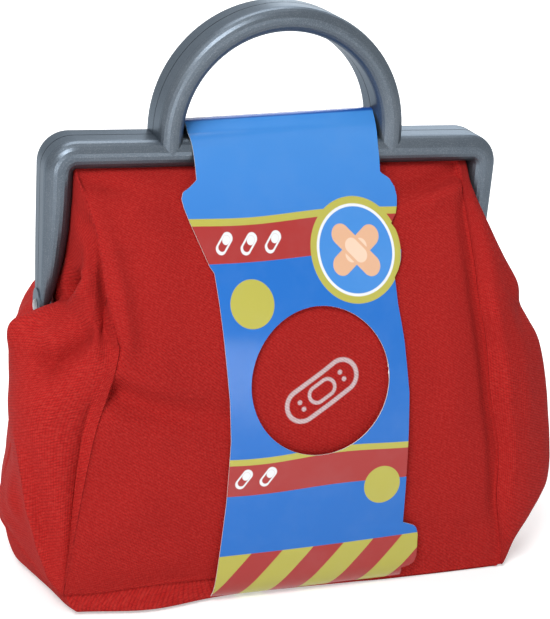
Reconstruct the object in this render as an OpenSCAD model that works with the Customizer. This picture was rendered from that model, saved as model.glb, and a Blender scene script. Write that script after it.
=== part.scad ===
// Toy doctor's case: a sewn fabric bag hung in a two-part carrying frame that
// opens on a hinge at each side, closed for the shop in a die-cut card sleeve.
// It stands on z = 0 with its front towards -Y, centred on x = 0 and y = 0.
// Each half of the frame is the same moulding, turned half a turn about Z.

/* [Frame] */
// Width over the two legs
frame_w = 200; // [170:2:240]
// Height of the top bar's centreline above the floor
bar_z = 184; // [165:1:210]
// Distance from the bar's centreline down to the hinge
leg_drop = 67; // [60:1:78]
// Width of the bar's tube, and of the legs at their top
tube_w = 11.8; // [10:0.2:13.4]
// Depth of one half, from the split plane to the crest of its round face
tube_d = 13.3; // [12.4:0.1:15]
// Wall of the moulding
wall = 2; // [1.6:0.1:2.4]
// Radius of the tube's centreline round the two top corners
corner_r = 7.1; // [6.9:0.1:10]
// Width of a leg where it ends at the hinge
leg_tip_w = 3.6; // [3.2:0.1:4.4]
// Half of the gap between the two closed halves
split_gap = 0.3; // [0.2:0.05:0.5]

/* [Handle] */
// Radius of the handle's centreline
grip_r = 48.5; // [44:0.5:56]
// Height of the handle's centre above the bar's centreline
grip_rise = 7; // [5:0.5:16]
// Width of the handle's tube
grip_w = 10.4; // [9:0.2:11.6]
// Thickness of the stiffening ribs inside the mouldings
rib_t = 1.2; // [0.8:0.1:1.6]
// Number of pockets between the ribs of the handle
grip_pockets = 10; // [6:1:14]

/* [Hinge] */
// Radius of a hinge lug
lug_r = 7.5; // [6.5:0.1:8]
// Thickness of a hinge lug
lug_t = 2.4; // [2:0.1:2.6]
// Gap between the two lugs of one side
lug_gap = 0.25; // [0.15:0.05:0.4]
// Distance that the outer lug stands out past the leg
lug_out = 0.6; // [0.4:0.1:1]
// Radius of the hinge rivet
rivet_r = 1.5; // [1.2:0.1:2]
// Radius of the rivet's heads
rivet_head_r = 3; // [2.6:0.1:3.6]
// Running clearance round the rivet
rivet_fit = 0.06; // [0.03:0.01:0.1]

/* [Clamp strips] */
// Thickness of the strip that clamps the bag's edge into a half
strip_t = 2.2; // [1.8:0.1:2.6]
// Width of the strip's lip past the tube's inner wall
strip_lip = 1.5; // [1:0.1:2]
// Clearance round a strip
strip_fit = 0.2; // [0.1:0.05:0.3]
// Length of the leg that the strip covers, below the bar's centreline
strip_drop = 46; // [40:1:50]
// Radius of a clamp screw's shank
screw_r = 1; // [0.8:0.1:1.2]
// Length of a clamp screw
screw_l = 7.5; // [6:0.5:8.5]
// Distance of the inner clamp screws from the middle of the bar
screw_in_x = 26; // [20:1:34]
// Distance of the outer clamp screws from the middle of the bar
screw_out_x = 78; // [72:1:80]
// Height of the leg's clamp screw below the bar's centreline
screw_drop = 36; // [30:1:38]
// Distance of the closing peg and of its socket from the middle of the bar
peg_x = 62; // [58:1:70]
// Radius of the closing peg
peg_r = 2; // [1.6:0.1:2.2]
// Clearance between the closing peg and its socket
peg_fit = 0.15; // [0.1:0.05:0.3]

/* [Bag] */
// Thickness of the fabric
fabric_t = 0.8; // [0.6:0.1:1]
// Depth of the bag over its front and rear panels
bag_d = 113; // [96:1:130]
// Width of the bag over the lobes of its two gussets
bag_w = 242; // [224:2:270]
// How much further in the rear left lobe lies, where the bag is drawn in
rear_tuck = 13; // [0:1:16]
// How much higher the bottom seam runs at the middle of a gusset than at the panels
side_rise = 20; // [0:1:26]
// Height of the bottom seam above the floor
seam_z = 9; // [7:0.5:14]
// Gap that stands for the stitches along each seam
seam_gap = 0.3; // [0.2:0.05:0.5]
// Length of fabric that reaches past the tube's inner wall into the clamp
hem_in = 1; // [0.6:0.1:1.2]

/* [Card sleeve] */
// Thickness of the card
card_t = 0.5; // [0.4:0.1:0.8]
// Width of the card where it passes through the handle
card_w = 82; // [70:1:82]
// Width of the card over the shoulders just below the bar
shoulder_w = 94; // [86:1:100]
// Width of the card over the bag
body_w = 80; // [70:1:84]
// Sideways shift of the card over the bag, because the sleeve sits askew
card_shift = 9.5; // [0:0.5:12]
// Distance from the bar's centreline down to the top of the card's shoulders
shoulder_drop = 10; // [9:0.5:13]
// Height over which a shoulder narrows to the card's body
shoulder_h = 28; // [22:1:36]
// Radius of the round field whose edge stands out below the right shoulder
field_r = 20.5; // [17:0.5:22]
// Distance of the round field's centre from the middle of the case
field_x = 27.4; // [24:0.2:29]
// Distance from the bar's centreline down to the round field's centre
field_drop = 36.5; // [32:0.5:42]
// How far the hang tab at the bottom right stands out
tab_out = 8; // [4:0.5:10]
// Height of the hang tab
tab_h = 21; // [14:1:26]
// Height of the top fold above the bar's centreline
fold_rise = 15.5; // [12:0.5:18]
// Radius of the round window
window_r = 31; // [24:1:34]
// Distance from the bar's centreline down to the window's centre
window_drop = 87.5; // [80:0.5:96]

/* [Hidden] */
$fn = 64;

half_w = frame_w / 2;
hinge_z = bar_z - leg_drop;
clear = 0.05;                                    // slip between clamped layers
strip_d = split_gap + 0.1;                       // depth at which a strip starts
seat_d = strip_d + strip_t + clear;              // depth of the ribs and bosses under it
hem_d = seat_d + fabric_t;                       // depth of the clamped fabric's outer face
rebate_d = hem_d + clear;                        // depth at which the inner wall starts
corner_x = half_w - tube_w / 2 - corner_r;       // centre of a corner's bend
outer_lug_x = half_w + lug_out - lug_t;          // inner face of an outer lug
inner_lug_x = outer_lug_x - lug_gap - lug_t;     // inner face of an inner lug
screw_head_r = screw_r + 1.1;
rib_back = 1.4;                                  // from the split plane to the handle's ribs
rib_overlap = 0.3;                               // how far a rib runs into the tube's wall
boss_wall = 1.2;                                 // wall round a screw, the peg's foot and socket
bar_ribs = [5, 38];                              // ribs across the bar, from its middle
peg_reach = 3.2;                                 // how far the peg enters the other half
leg_screw_x = half_w - wall - screw_r - 1.7;
steps = 12;                                      // steps along a leg's taper and round its face

// ---------- tube sections, in the moulding's own axes: x along the bar,
// ---------- y up, z the depth from the split plane

// Section of a half: straight side walls and a round face whose arc starts at the depth
// face. inset makes the hollow.
function section(r, face, inset) = let (start = inset > 0 ? -1 : split_gap)
    concat([[r, start]],
        [for (k = [0:steps]) [r * cos(180 * k / steps), face + r * sin(180 * k / steps)]],
        [[-r, start]]);
module tube_section(w, inset = 0) polygon(section(w / 2 - inset, tube_d - w / 2, inset));

// Straight run of tube along x
module bar_run(x0, x1, inset = 0)
    translate([x0, 0, 0]) rotate([90, 0, 90])
        linear_extrude(x1 - x0) tube_section(tube_w, inset);

// Width of a leg at the distance d below the bar: full at the corner, a leaf tip at the hinge
function leg_share(d) = min(1, max(0, (d - corner_r) / (leg_drop - 1 - corner_r)));
function leg_w(d) = tube_w - (tube_w - leg_tip_w) * pow(leg_share(d), 2.2);

// Points of a leg's section at the distance d below the bar
function leg_ring(d, inset) = let (
        w = leg_w(d), face = tube_d - tube_w / 2 - 2.4 * pow(leg_share(d), 4))
    [for (p = section(w / 2 - inset, face, inset)) [half_w - w / 2 + p[0], -d, p[1]]];

// Skin over a list of rings with as many points each, closed at both ends
module loft(rings) {
    n = len(rings[0]);
    m = len(rings);
    polyhedron(
        points = [for (ring = rings) each ring],
        faces = concat(
            [[for (k = [0:n - 1]) k]],
            [for (j = [0:m - 2]) for (k = [0:n - 1]) let (a = j * n + k, b = j * n + (k + 1) % n)
                each [[a, a + n, b + n], [a, b + n, b]]],
            [[for (k = [n - 1:-1:0]) (m - 1) * n + k]]));
}

// Right leg from the corner down to the distance last below the bar
module leg(last, inset = 0)
    loft([for (k = [0:steps]) leg_ring(corner_r + (last - corner_r) * k / steps, inset)]);

// Right top corner
module corner(inset = 0)
    translate([corner_x, -corner_r, 0]) rotate_extrude(angle = 90)
        translate([corner_r, 0]) tube_section(tube_w, inset);

// Handle's bend, from the angle a0 over the angle a
module grip_bend(a0, a, inset = 0)
    translate([0, grip_rise, 0]) rotate([0, 0, a0]) rotate_extrude(angle = a, $fn = 128)
        translate([grip_r, 0]) tube_section(grip_w, inset);

// Straight foot of the handle at the side side_x (-1 or 1)
module grip_foot(side_x, inset = 0)
    translate([side_x * grip_r, grip_rise, 0]) rotate([90, 0, 0])
        linear_extrude(grip_rise) tube_section(grip_w, inset);

// ---------- outlines on the split plane

// Band along the bar and the legs between the inner line, lip below the tube, and
// the outer line, reach above the tube's inner edge, or the whole hollow without reach
module band(lip, grow, reach = 0, last = strip_drop) {
    top = reach > 0 ? -tube_w / 2 + reach : tube_w / 2 - wall + grow;
    bend = corner_r + tube_w / 2 - wall + grow;
    arc = reach > 0 ? [[half_w - tube_w + reach, top]]
        : [for (a = [90:-15:0]) [corner_x + bend * cos(a), -corner_r + bend * sin(a)]];
    down = [for (k = [1:6]) corner_r + (last - corner_r) * k / 6];
    outer = [for (d = down) [reach > 0 ? half_w - leg_w(d) + reach : half_w - wall + grow, -d]];
    inner = [for (k = [5:-1:0]) [half_w - leg_w(down[k]) - lip, -down[k]]];
    half = concat(arc, outer, inner, [[half_w - tube_w - lip, -tube_w / 2 - lip]]);
    n = len(half);
    polygon(concat(half, [for (k = [n - 1:-1:0]) [-half[k][0], half[k][1]]]));
}

// Places on a half: the clamp screws
module at_screws() {
    for (s = [-1, 1]) {
        for (x = [screw_in_x, screw_out_x]) translate([s * x, 0, 0]) children();
        translate([s * leg_screw_x, -screw_drop, 0]) children();
    }
}

// Stands a moulding up: its depth turns to -Y and the bar goes to its height
module stand() translate([0, 0, bar_z]) rotate([90, 0, 0]) children();

// Disc or pin along x at the hinge, from x0 to x1, in the moulding's axes
module on_hinge(r, x0, x1)
    translate([x0, -leg_drop, 0]) rotate([0, 90, 0]) cylinder(r = r, h = x1 - x0);

// ---------- frame

// Solid form of a half before it is hollowed: bar, corners, legs, handle
module half_form() {
    bar_run(-corner_x, corner_x);
    for (s = [0, 1]) mirror([s, 0, 0]) {
        corner();
        leg(leg_drop - 1);
        grip_foot(1);
    }
    grip_bend(0, 180);
}

// Hollow of a half: bar, legs and handle in one
module half_hollow() {
    bar_run(-corner_x, corner_x, wall);
    for (s = [0, 1]) mirror([s, 0, 0]) {
        corner(wall);
        leg(strip_drop, wall);
    }
    grip_bend(0, 180, wall);
}

// Ribs across the handle, set back from the split plane by rib_back
module grip_ribs() {
    reach = grip_w / 2 - wall + rib_overlap;
    for (k = [0:grip_pockets])
        translate([0, grip_rise, rib_back]) rotate([0, 0, k * 180 / grip_pockets])
            translate([grip_r - reach, -rib_t / 2, 0])
                cube([2 * reach, rib_t, tube_d - wall - rib_back + rib_overlap / 3]);
}

// Ribs across the bar and the handle, and bosses for the screws, the peg and the socket
module half_bosses() {
    grip_ribs();
    depth = tube_d - wall / 2 - seat_d;
    for (s = [-1, 1]) {
        for (x = [screw_in_x, screw_out_x])
            translate([s * x, 0, seat_d]) cylinder(r = screw_r + boss_wall, h = depth);
        translate([s * leg_screw_x, -screw_drop, seat_d])
            cylinder(r = screw_r + boss_wall, h = depth - (tube_w - leg_w(screw_drop)) / 2);
    }
    for (s = [-1, 1]) for (x = bar_ribs)
        translate([s * x - rib_t / 2, -tube_w / 2 + wall / 2, seat_d])
            cube([rib_t, tube_w - wall, tube_d - tube_w / 2 - seat_d]);
    translate([peg_x, 0, seat_d]) cylinder(r = peg_r + boss_wall, h = depth);
    translate([-peg_x, 0, seat_d]) cylinder(r = peg_r + peg_fit + boss_wall, h = depth);
}

// One half of the frame; its left lug is the inner one, its right lug the outer one
module frame_half() {
    difference() {
        union() {
            difference() {
                half_form();
                difference() {
                    half_hollow();
                    half_bosses();
                }
                // seat of the clamp strip, and the slot for the fabric's hem
                translate([0, 0, -1]) linear_extrude(seat_d + 1) band(strip_lip, -strip_fit / 2);
                translate([0, 0, -1]) linear_extrude(rebate_d + 1)
                    band(strip_lip, 0, wall + hem_in + 0.2, strip_drop + leg_slip + 1);
                at_screws() translate([0, 0, seat_d - 1]) cylinder(r = screw_r + clear, h = screw_l);
                translate([-peg_x, 0, -1]) cylinder(r = peg_r + peg_fit, h = peg_reach + 2);
                // room for the other half's lugs
                on_hinge(lug_r + 0.4, outer_lug_x - lug_gap - half_w * 2 - 2 * lug_out,
                    -outer_lug_x + lug_gap);
                on_hinge(lug_r + 0.4, inner_lug_x - lug_gap, outer_lug_x);
            }
            on_hinge(lug_r, -inner_lug_x - lug_t, -inner_lug_x);
            on_hinge(lug_r, outer_lug_x, outer_lug_x + lug_t);
            translate([peg_x, 0, -peg_reach]) cylinder(r = peg_r, h = peg_reach + seat_d + 1);
        }
        for (s = [0, 1]) mirror([s, 0, 0])
            on_hinge(rivet_r + rivet_fit, inner_lug_x - 4, half_w + 4);
    }
}

module front_frame() color("#5f676f") stand() frame_half();
module rear_frame() color("#5f676f") rotate([0, 0, 180]) stand() frame_half();

// Strip that closes the back of a half and clamps the bag's edge
module clamp_strip() {
    difference() {
        translate([0, 0, strip_d]) linear_extrude(strip_t) band(strip_lip, -strip_fit);
        at_screws() {
            cylinder(r = screw_r + 0.2, h = 2 * seat_d + 2, center = true);
            translate([0, 0, strip_d]) cylinder(r1 = screw_head_r + 0.1, r2 = screw_r + 0.1, h = 1.2);
            translate([0, 0, -1]) cylinder(r = screw_head_r + 0.1, h = 1 + strip_d);
        }
        for (s = [-1, 1]) translate([s * peg_x, 0, -1]) cylinder(r = peg_r + 0.6, h = seat_d + 2);
    }
}

module front_clamp_strip() color("#4a5057") stand() clamp_strip();
module rear_clamp_strip() color("#4a5057") rotate([0, 0, 180]) stand() clamp_strip();

// Countersunk screws of one half
module clamp_screws()
    at_screws() rotate_extrude(convexity = 4)
        polygon([[0, strip_d + 0.3], [0.5, strip_d + 0.3], [0.8, strip_d], [screw_head_r - 0.1, strip_d],
            [screw_r, strip_d + 1.1], [screw_r, strip_d + screw_l - 1], [0, strip_d + screw_l]]);

module front_clamp_screws() color("silver") stand() clamp_screws();
module rear_clamp_screws() color("silver") rotate([0, 0, 180]) stand() clamp_screws();

// Rivet through both lugs of the right side: domed head outside, set head inside
module hinge_rivet() {
    out = half_w + lug_out + 0.1 - inner_lug_x;
    translate([inner_lug_x, 0, hinge_z]) rotate([0, 90, 0]) rotate_extrude()
        polygon([[0, -1.2], [rivet_r, -1.2], [rivet_head_r - 0.6, -0.9], [rivet_head_r - 0.4, -0.1],
            [rivet_r, -0.1], [rivet_r, out], [rivet_head_r, out], [rivet_head_r - 0.5, out + 0.7],
            [rivet_r, out + 1.1], [0, out + 1.2]]);
}

module hinge_rivet_left() color("silver") mirror([1, 0, 0]) hinge_rivet();
module hinge_rivet_right() color("silver") hinge_rivet();

// ---------- bag. Rows run from the bar down to the bottom seam; each row holds
// ---------- [height, depth of the panel, distance of the seam from the middle,
// ---------- place of the gusset's far edge, kind of that edge, place of the gusset's lobe]

leg_edge = 0;    // the gusset's edge is clamped into the leg
free_edge = 1;   // it hangs behind the hinge lugs
fold_edge = 2;   // the front and rear halves of the gusset run into each other

under_z = hinge_z - lug_r - 1.5;                 // first row below the lugs
free_x = inner_lug_x - 2.5;                      // fabric passes inside the rivet's head here

// Height at the share s of the way from the bar to the hinge, and from there to the seam
function leg_z(s) = bar_z - leg_drop * s;
function low_z(s) = under_z - (under_z - seam_z - seam_gap) * s;
// Place of the gusset's clamped edge on a leg at the height z
function leg_x(z) = half_w - leg_w(bar_z - z) + wall + hem_in;

under_bar = bar_z - tube_w / 2 - 1.6;
clamp_end = bar_z - strip_drop - strip_fit;      // the edge leaves the clamp here
leg_slip = 6;                                    // and is clear of the leg this much lower
half_bag = bag_w / 2;
rows = [
    [under_bar, hem_d + 3, 0.85 * half_w, leg_x(under_bar), leg_edge, 0],
    [leg_z(0.16), 0.22 * bag_d / 2, 0.85 * half_w, leg_x(leg_z(0.16)), leg_edge, 0],
    [leg_z(0.24), 0.31 * bag_d / 2, 0.845 * half_w, leg_x(leg_z(0.24)), leg_edge, 0],
    [leg_z(0.42), 0.45 * bag_d / 2, 0.83 * half_w, leg_x(leg_z(0.42)), leg_edge, 0.725 * half_bag],
    [leg_z(0.56), 0.57 * bag_d / 2, 0.823 * half_w, leg_x(leg_z(0.56)), leg_edge, 0.75 * half_bag],
    [clamp_end, 0.63 * bag_d / 2, 0.82 * half_w, leg_x(clamp_end), leg_edge, 0.78 * half_bag],
    [clamp_end - leg_slip, 0.69 * bag_d / 2, 0.82 * half_w,
        half_w - leg_w(strip_drop + strip_fit + leg_slip) - 1.6, free_edge, 0.82 * half_bag],
    [leg_z(0.87), 0.74 * bag_d / 2, 0.82 * half_w, free_x, free_edge, 0.87 * half_bag],
    [hinge_z, 0.78 * bag_d / 2, 0.82 * half_w, free_x, free_edge, 0.925 * half_bag],
    [under_z, 0.82 * bag_d / 2, 0.825 * half_w, free_x, fold_edge, 0.95 * half_bag],
    [low_z(0.1), 0.86 * bag_d / 2, 0.845 * half_w, 0.825 * half_bag, fold_edge, 0.965 * half_bag],
    [low_z(0.2), 0.895 * bag_d / 2, 0.87 * half_w, 0.88 * half_bag, fold_edge, 0.97 * half_bag],
    [low_z(0.35), 0.945 * bag_d / 2, 0.905 * half_w, 0.91 * half_bag, fold_edge, 0.98 * half_bag],
    [low_z(0.6), 0.99 * bag_d / 2, 0.95 * half_w, 0.925 * half_bag, fold_edge, half_bag],
    [low_z(0.8), bag_d / 2, 0.975 * half_w, 0.93 * half_bag, fold_edge, 0.99 * half_bag],
    [low_z(0.92), 0.995 * bag_d / 2, 0.985 * half_w, 0.93 * half_bag, fold_edge, 0.97 * half_bag],
    [low_z(1), 0.98 * bag_d / 2, 0.99 * half_w, 0.925 * half_bag, fold_edge, 0.95 * half_bag]];
fold_row = 10;                                   // first row that runs over in one lobe to the fold

// Share by which a panel rolls back towards its two seams, none where it is clamped
function roll(k) = 0.1 * min(1, k / 3);
function panel_y(k, u) = -rows[k][1] * (1 - roll(k) * pow(abs(u), 6));

// Thin sheet between two grids of points with equal rows, the second one inside it
module sheet(outer, inner) {
    m = len(outer);
    n = len(outer[0]);
    s = m * n;
    function id(i, j) = i * n + j;
    polyhedron(
        points = concat([for (row = outer) each row], [for (row = inner) each row]),
        faces = concat(
            [for (i = [0:m - 2]) for (j = [0:n - 2])
                each [[id(i, j), id(i, j + 1), id(i + 1, j + 1)], [id(i, j), id(i + 1, j + 1), id(i + 1, j)]]],
            [for (i = [0:m - 2]) for (j = [0:n - 2])
                each [[s + id(i, j), s + id(i + 1, j + 1), s + id(i, j + 1)],
                    [s + id(i, j), s + id(i + 1, j), s + id(i + 1, j + 1)]]],
            [for (i = [0:m - 2])
                each [[id(i, 0), id(i + 1, 0), s + id(i + 1, 0)], [id(i, 0), s + id(i + 1, 0), s + id(i, 0)],
                    [id(i, n - 1), s + id(i + 1, n - 1), id(i + 1, n - 1)],
                    [id(i, n - 1), s + id(i, n - 1), s + id(i + 1, n - 1)]]],
            [for (j = [0:n - 2])
                each [[id(0, j), s + id(0, j + 1), id(0, j + 1)], [id(0, j), s + id(0, j), s + id(0, j + 1)],
                    [id(m - 1, j), id(m - 1, j + 1), s + id(m - 1, j + 1)],
                    [id(m - 1, j), s + id(m - 1, j + 1), s + id(m - 1, j)]]]));
}

// Front panel: the hem goes up behind the bar's inner wall, the rest follows the rows
panel_cols = 12;
module panel() {
    hem = [[bar_z - tube_w / 2 + wall + hem_in, hem_d], [bar_z - tube_w / 2 - 0.5, hem_d]];
    top_x = rows[0][2] - seam_gap / 2;
    function u(j) = 2 * j / panel_cols - 1;
    outer = concat(
        [for (h = hem) [for (j = [0:panel_cols]) [u(j) * top_x, -h[1], h[0]]]],
        [for (k = [0:len(rows) - 1]) [for (j = [0:panel_cols])
            [u(j) * (rows[k][2] - seam_gap / 2), panel_y(k, u(j)), rows[k][0]]]]);
    // the sheet's thickness runs square to the profile from row to row
    function profile(i) = let (p = outer[min(len(outer) - 1, max(0, i))][panel_cols / 2]) [p[1], p[2]];
    function square_to(i) = let (d = profile(i + 1) - profile(i - 1), l = norm(d)) [-d[1] / l, d[0] / l];
    inner = [for (i = [0:len(outer) - 1]) let (q = square_to(i))
        [for (p = outer[i]) [p[0], p[1] + fabric_t * q[0], p[2] + fabric_t * q[1]]]];
    sheet(outer, inner);
}

module front_panel() color("#b81e24") panel();
module rear_panel() color("#b81e24") rotate([0, 0, 180]) panel();

// Front half of the right gusset. A row goes from the seam round a lobe to its far edge:
// above the hinge in front of the leg and back into the clamp, below it to the inward fold.
gusset_cols = 8;
curve_cols = 5;                                  // columns of the lobe above the fold
lobe_at = 0.575;                                 // share of a low row where its lobe stands out most
hem_turn = 1.4;                                  // the fabric turns into the clamp this far off the leg
turn_y = 3;                                      // and lies flat beside the lugs from this depth on
edge_gap = 0.4;                                  // half of the gap between the two free edges
leg_room = 1.4;                                  // room between the fabric and the leg's round face

// Cubic curve over four control points
function cubic(p, t) = pow(1 - t, 3) * p[0] + 3 * t * pow(1 - t, 2) * p[1]
    + 3 * t * t * (1 - t) * p[2] + pow(t, 3) * p[3];

// Point of a row above the fold, at the column j; tuck draws the lobe in
function high_point(k, j, tuck) = let (
        clamped = rows[k][4] == leg_edge,
        x0 = rows[k][2] + seam_gap / 2, y0 = panel_y(k, 1), z = rows[k][0],
        x1 = rows[k][3] - (clamped ? wall + hem_in + hem_turn : 0), y1 = clamped ? -hem_d : -turn_y,
        pass = max(-tube_d - leg_room, (y0 - hem_d) / 2),
        out = max(0, rows[k][5] - tuck * k / fold_row - (x0 + x1) / 2) / 0.75,
        p = [[x0, y0], [x0 + (x1 - x0) / 3 + out, y0], [x1 - (x1 - x0) / 3 + out, pass + (y0 - pass) / 4],
            [x1, pass]],
        q = j <= curve_cols ? cubic(p, j / curve_cols)
            : j < gusset_cols ? [x1, pass + (y1 - pass) * (j - curve_cols) / (gusset_cols - 1 - curve_cols)]
            : [rows[k][3], clamped ? -hem_d : rows[k][4] == free_edge ? -edge_gap : 0])
    [q[0], q[1], z];

// Point of a row below it at the share s: round to the lobe, then in to the fold, rising
// towards the fold by the row's share of side_rise
function low_point(k, s, tuck) = let (
        x0 = rows[k][2] + seam_gap / 2, lobe = rows[k][5] - tuck,
        past = max(0, (s - lobe_at) / (1 - lobe_at)))
    [(s < lobe_at ? x0 + (lobe - x0) * sin(90 * s / lobe_at) : lobe) - (lobe - rows[k][3]) * pow(past, 2),
        panel_y(k, 1) * cos(90 * s), rows[k][0] + rise(k) * pow(sin(90 * s), 2)];
function rise(k) = side_rise * pow((under_z - rows[k][0]) / (under_z - seam_z - seam_gap), 1.5);

module gusset_half(tuck) {
    m = len(rows);
    outer = [for (k = [0:m - 1]) [for (j = [0:gusset_cols])
        k < fold_row ? high_point(k, j, tuck) : low_point(k, j / gusset_cols, tuck)]];
    // the thickness runs square to the surface, and at the seam square to the panel's edge too;
    // across the fold lies the mirror image
    function after(k, j) = j < gusset_cols ? outer[k][j + 1]
        : rows[k][4] == fold_edge ? let (p = outer[k][j - 1]) [p[0], -p[1], p[2]] : outer[k][j];
    function square_to(k, j) = let (
            a = j == 0 ? [1, 0, 0] : after(k, j) - outer[k][j - 1],
            d = outer[min(m - 1, k + 1)][j] - outer[max(0, k - 1)][j], n = cross(a, d)) n / norm(n);
    inner = [for (k = [0:m - 1]) [for (j = [0:gusset_cols]) outer[k][j] + fabric_t * square_to(k, j)]];
    sheet(outer, inner);
}

// Both halves of a gusset; rear draws the lobe of the rear one in
module gusset(rear = 0) {
    gusset_half(0);
    mirror([0, 1, 0]) gusset_half(rear);
}

module left_gusset() color("#a81a20") mirror([1, 0, 0]) gusset(rear_tuck);
module right_gusset() color("#a81a20") gusset();

// Bottom panel: flat on the card, turned up all round to the bottom seam
bottom_z = card_t + 0.1;
module bottom_panel() {
    last = len(rows) - 1;
    // seam line of a corner from its first column after the panel to the fold, turned to its side
    function corner_line(sx, sy, tuck) = [for (j = [1:gusset_cols])
        let (p = low_point(last, j / gusset_cols, tuck)) [sx * p[0], sy * p[1], p[2]]];
    function back(line) = [for (j = [gusset_cols - 2:-1:0]) line[j]];
    function edge(side) = [for (j = [0:panel_cols]) let (u = 2 * j / panel_cols - 1)
        [side * u * rows[last][2], side * panel_y(last, u), rows[last][0]]];
    outline = concat(edge(1), corner_line(1, 1, 0), back(corner_line(1, -1, 0)),
        edge(-1), corner_line(-1, -1, rear_tuck), back(corner_line(-1, 1, 0)));
    // each ring is a share of the outline, at a share of the seam's height
    rings = [[0.74, 0], [0.86, 0.1], [0.94, 0.42], [1, 1]];
    under = [for (r = rings) [for (p = outline)
        [p[0] * r[0], p[1] * r[0], bottom_z + (p[2] - seam_gap - fabric_t - bottom_z) * r[1]]]];
    over = [for (i = [3:-1:0]) [for (p = under[i]) p + [0, 0, fabric_t]]];
    color("#9c171d") loft(concat(under, over));
}

// ---------- card sleeve

// Side line of the front leaf, from the glued top fold down and under the bag
function card_row(z) = -lookup(z, [for (k = [len(rows) - 1:-1:0]) [rows[k][0], rows[k][1]]]) - 1.4;
card_line = concat(
    [[-0.2, bar_z + fold_rise], [-4, bar_z + fold_rise - 0.5],
        [-tube_d - 1.3, bar_z + 4], [-tube_d - 2.7, bar_z]],
    [for (s = [0.24, 0.42, 0.6, 0.8, 1]) [card_row(leg_z(s)) - (s < 0.3 ? 3.2 : 1), leg_z(s)]],
    [for (s = [0.2, 0.45, 0.7, 0.9]) [card_row(low_z(s)), low_z(s)]],
    [[-bag_d / 2 - 1.4, seam_z], [-bag_d / 2 - 0.4, 4.4], [-bag_d / 2 + 3.6, 1], [-bag_d / 2 + 9, 0]]);

// Centre of the card at the height z: it drifts to one side down to the window
shoulder_z = bar_z - shoulder_drop;
function card_mid(z) = card_shift * min(1, max(0, (shoulder_z - z) / (window_drop - shoulder_drop)));

// Half of the card's width at the share s of the shoulders' height
function shoulder(s) = shoulder_w / 2 - (shoulder_w - body_w) / 2 * (0.5 - 0.5 * cos(180 * s));

// Hang tab on the right edge, with round corners, from the bottom seam up
module hang_tab() {
    r = min(tab_out, tab_h / 2) * 0.6;
    x = card_mid(seam_z) + body_w / 2;
    polygon(concat([[x - tab_out, seam_z], [x, seam_z]],
        [for (a = [-90:15:0]) [x + tab_out - r + r * cos(a), seam_z + r + r * sin(a)]],
        [for (a = [0:15:90]) [x + tab_out - r + r * cos(a), seam_z + tab_h - r + r * sin(a)]],
        [[x, seam_z + tab_h], [x - tab_out, seam_z + tab_h]]));
}

// Die-cut outline, seen from the front
module card_outline() {
    sides = concat(
        [[bar_z + fold_rise + 2, card_w / 2], [shoulder_z, card_w / 2],
            [shoulder_z - 0.12 * shoulder_h, shoulder_w / 2 - 1.5]],
        [for (k = [2:8]) [shoulder_z - shoulder_h * k / 8, shoulder((k - 2) / 6)]],
        [[shoulder_z - 2 * shoulder_h, body_w / 2], [bar_z - window_drop, body_w / 2],
            [seam_z, body_w / 2 + 2], [-2, body_w / 2 + 3]]);
    polygon(concat(
        [for (p = sides) [card_mid(p[0]) + p[1], p[0]]],
        [for (k = [len(sides) - 1:-1:0]) [card_mid(sides[k][0]) - sides[k][1], sides[k][0]]]));
    translate([field_x, bar_z - field_drop]) circle(r = field_r);
}

module card_sleeve() {
    n = len(card_line);
    function across(i) = let (
            d = card_line[min(n - 1, i + 1)] - card_line[max(0, i - 1)], l = norm(d))
        [-d[1] / l, d[0] / l] * card_t;
    inside = [for (i = [0:n - 1]) card_line[i] + across(i)];
    color("#2f7fe0") difference() {
        intersection() {
            rotate([90, 0, 90]) linear_extrude(2 * shoulder_w, center = true)
                polygon(concat(card_line, [for (i = [n - 1:-1:0]) [-card_line[i][0], card_line[i][1]]],
                    [for (p = inside) [-p[0], p[1]]], [for (i = [n - 1:-1:0]) inside[i]]));
            union() {
                rotate([90, 0, 0]) linear_extrude(2 * bag_d, center = true) card_outline();
                rotate([90, 0, 0]) linear_extrude(bag_d) hang_tab();
            }
        }
        translate([card_shift, 0, bar_z - window_drop]) rotate([90, 0, 0])
            cylinder(r = window_r, h = bag_d);
    }
}

front_frame();
rear_frame();
front_clamp_strip();
rear_clamp_strip();
front_clamp_screws();
rear_clamp_screws();
hinge_rivet_left();
hinge_rivet_right();
front_panel();
rear_panel();
left_gusset();
right_gusset();
bottom_panel();
card_sleeve();
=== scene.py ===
import bpy, bmesh, math
import numpy as np
from mathutils import Matrix, Vector


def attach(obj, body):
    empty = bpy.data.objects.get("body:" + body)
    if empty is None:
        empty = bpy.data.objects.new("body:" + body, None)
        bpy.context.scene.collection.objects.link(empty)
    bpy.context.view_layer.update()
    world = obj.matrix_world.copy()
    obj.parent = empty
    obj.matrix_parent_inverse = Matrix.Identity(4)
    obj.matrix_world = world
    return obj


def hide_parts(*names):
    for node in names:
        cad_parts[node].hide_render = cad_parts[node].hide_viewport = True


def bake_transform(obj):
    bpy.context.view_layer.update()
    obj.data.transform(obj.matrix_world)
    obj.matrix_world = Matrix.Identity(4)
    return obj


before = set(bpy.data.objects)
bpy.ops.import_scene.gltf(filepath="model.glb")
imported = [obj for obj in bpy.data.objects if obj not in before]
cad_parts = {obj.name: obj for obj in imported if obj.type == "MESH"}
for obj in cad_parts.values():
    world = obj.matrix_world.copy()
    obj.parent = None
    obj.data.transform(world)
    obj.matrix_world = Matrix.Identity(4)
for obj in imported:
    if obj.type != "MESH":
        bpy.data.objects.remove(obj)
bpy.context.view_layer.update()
mm = 0.001
barHeight = 0.184          # height of the bar's centreline above the floor, as the frame is packed

# small tools that every piece uses

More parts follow.
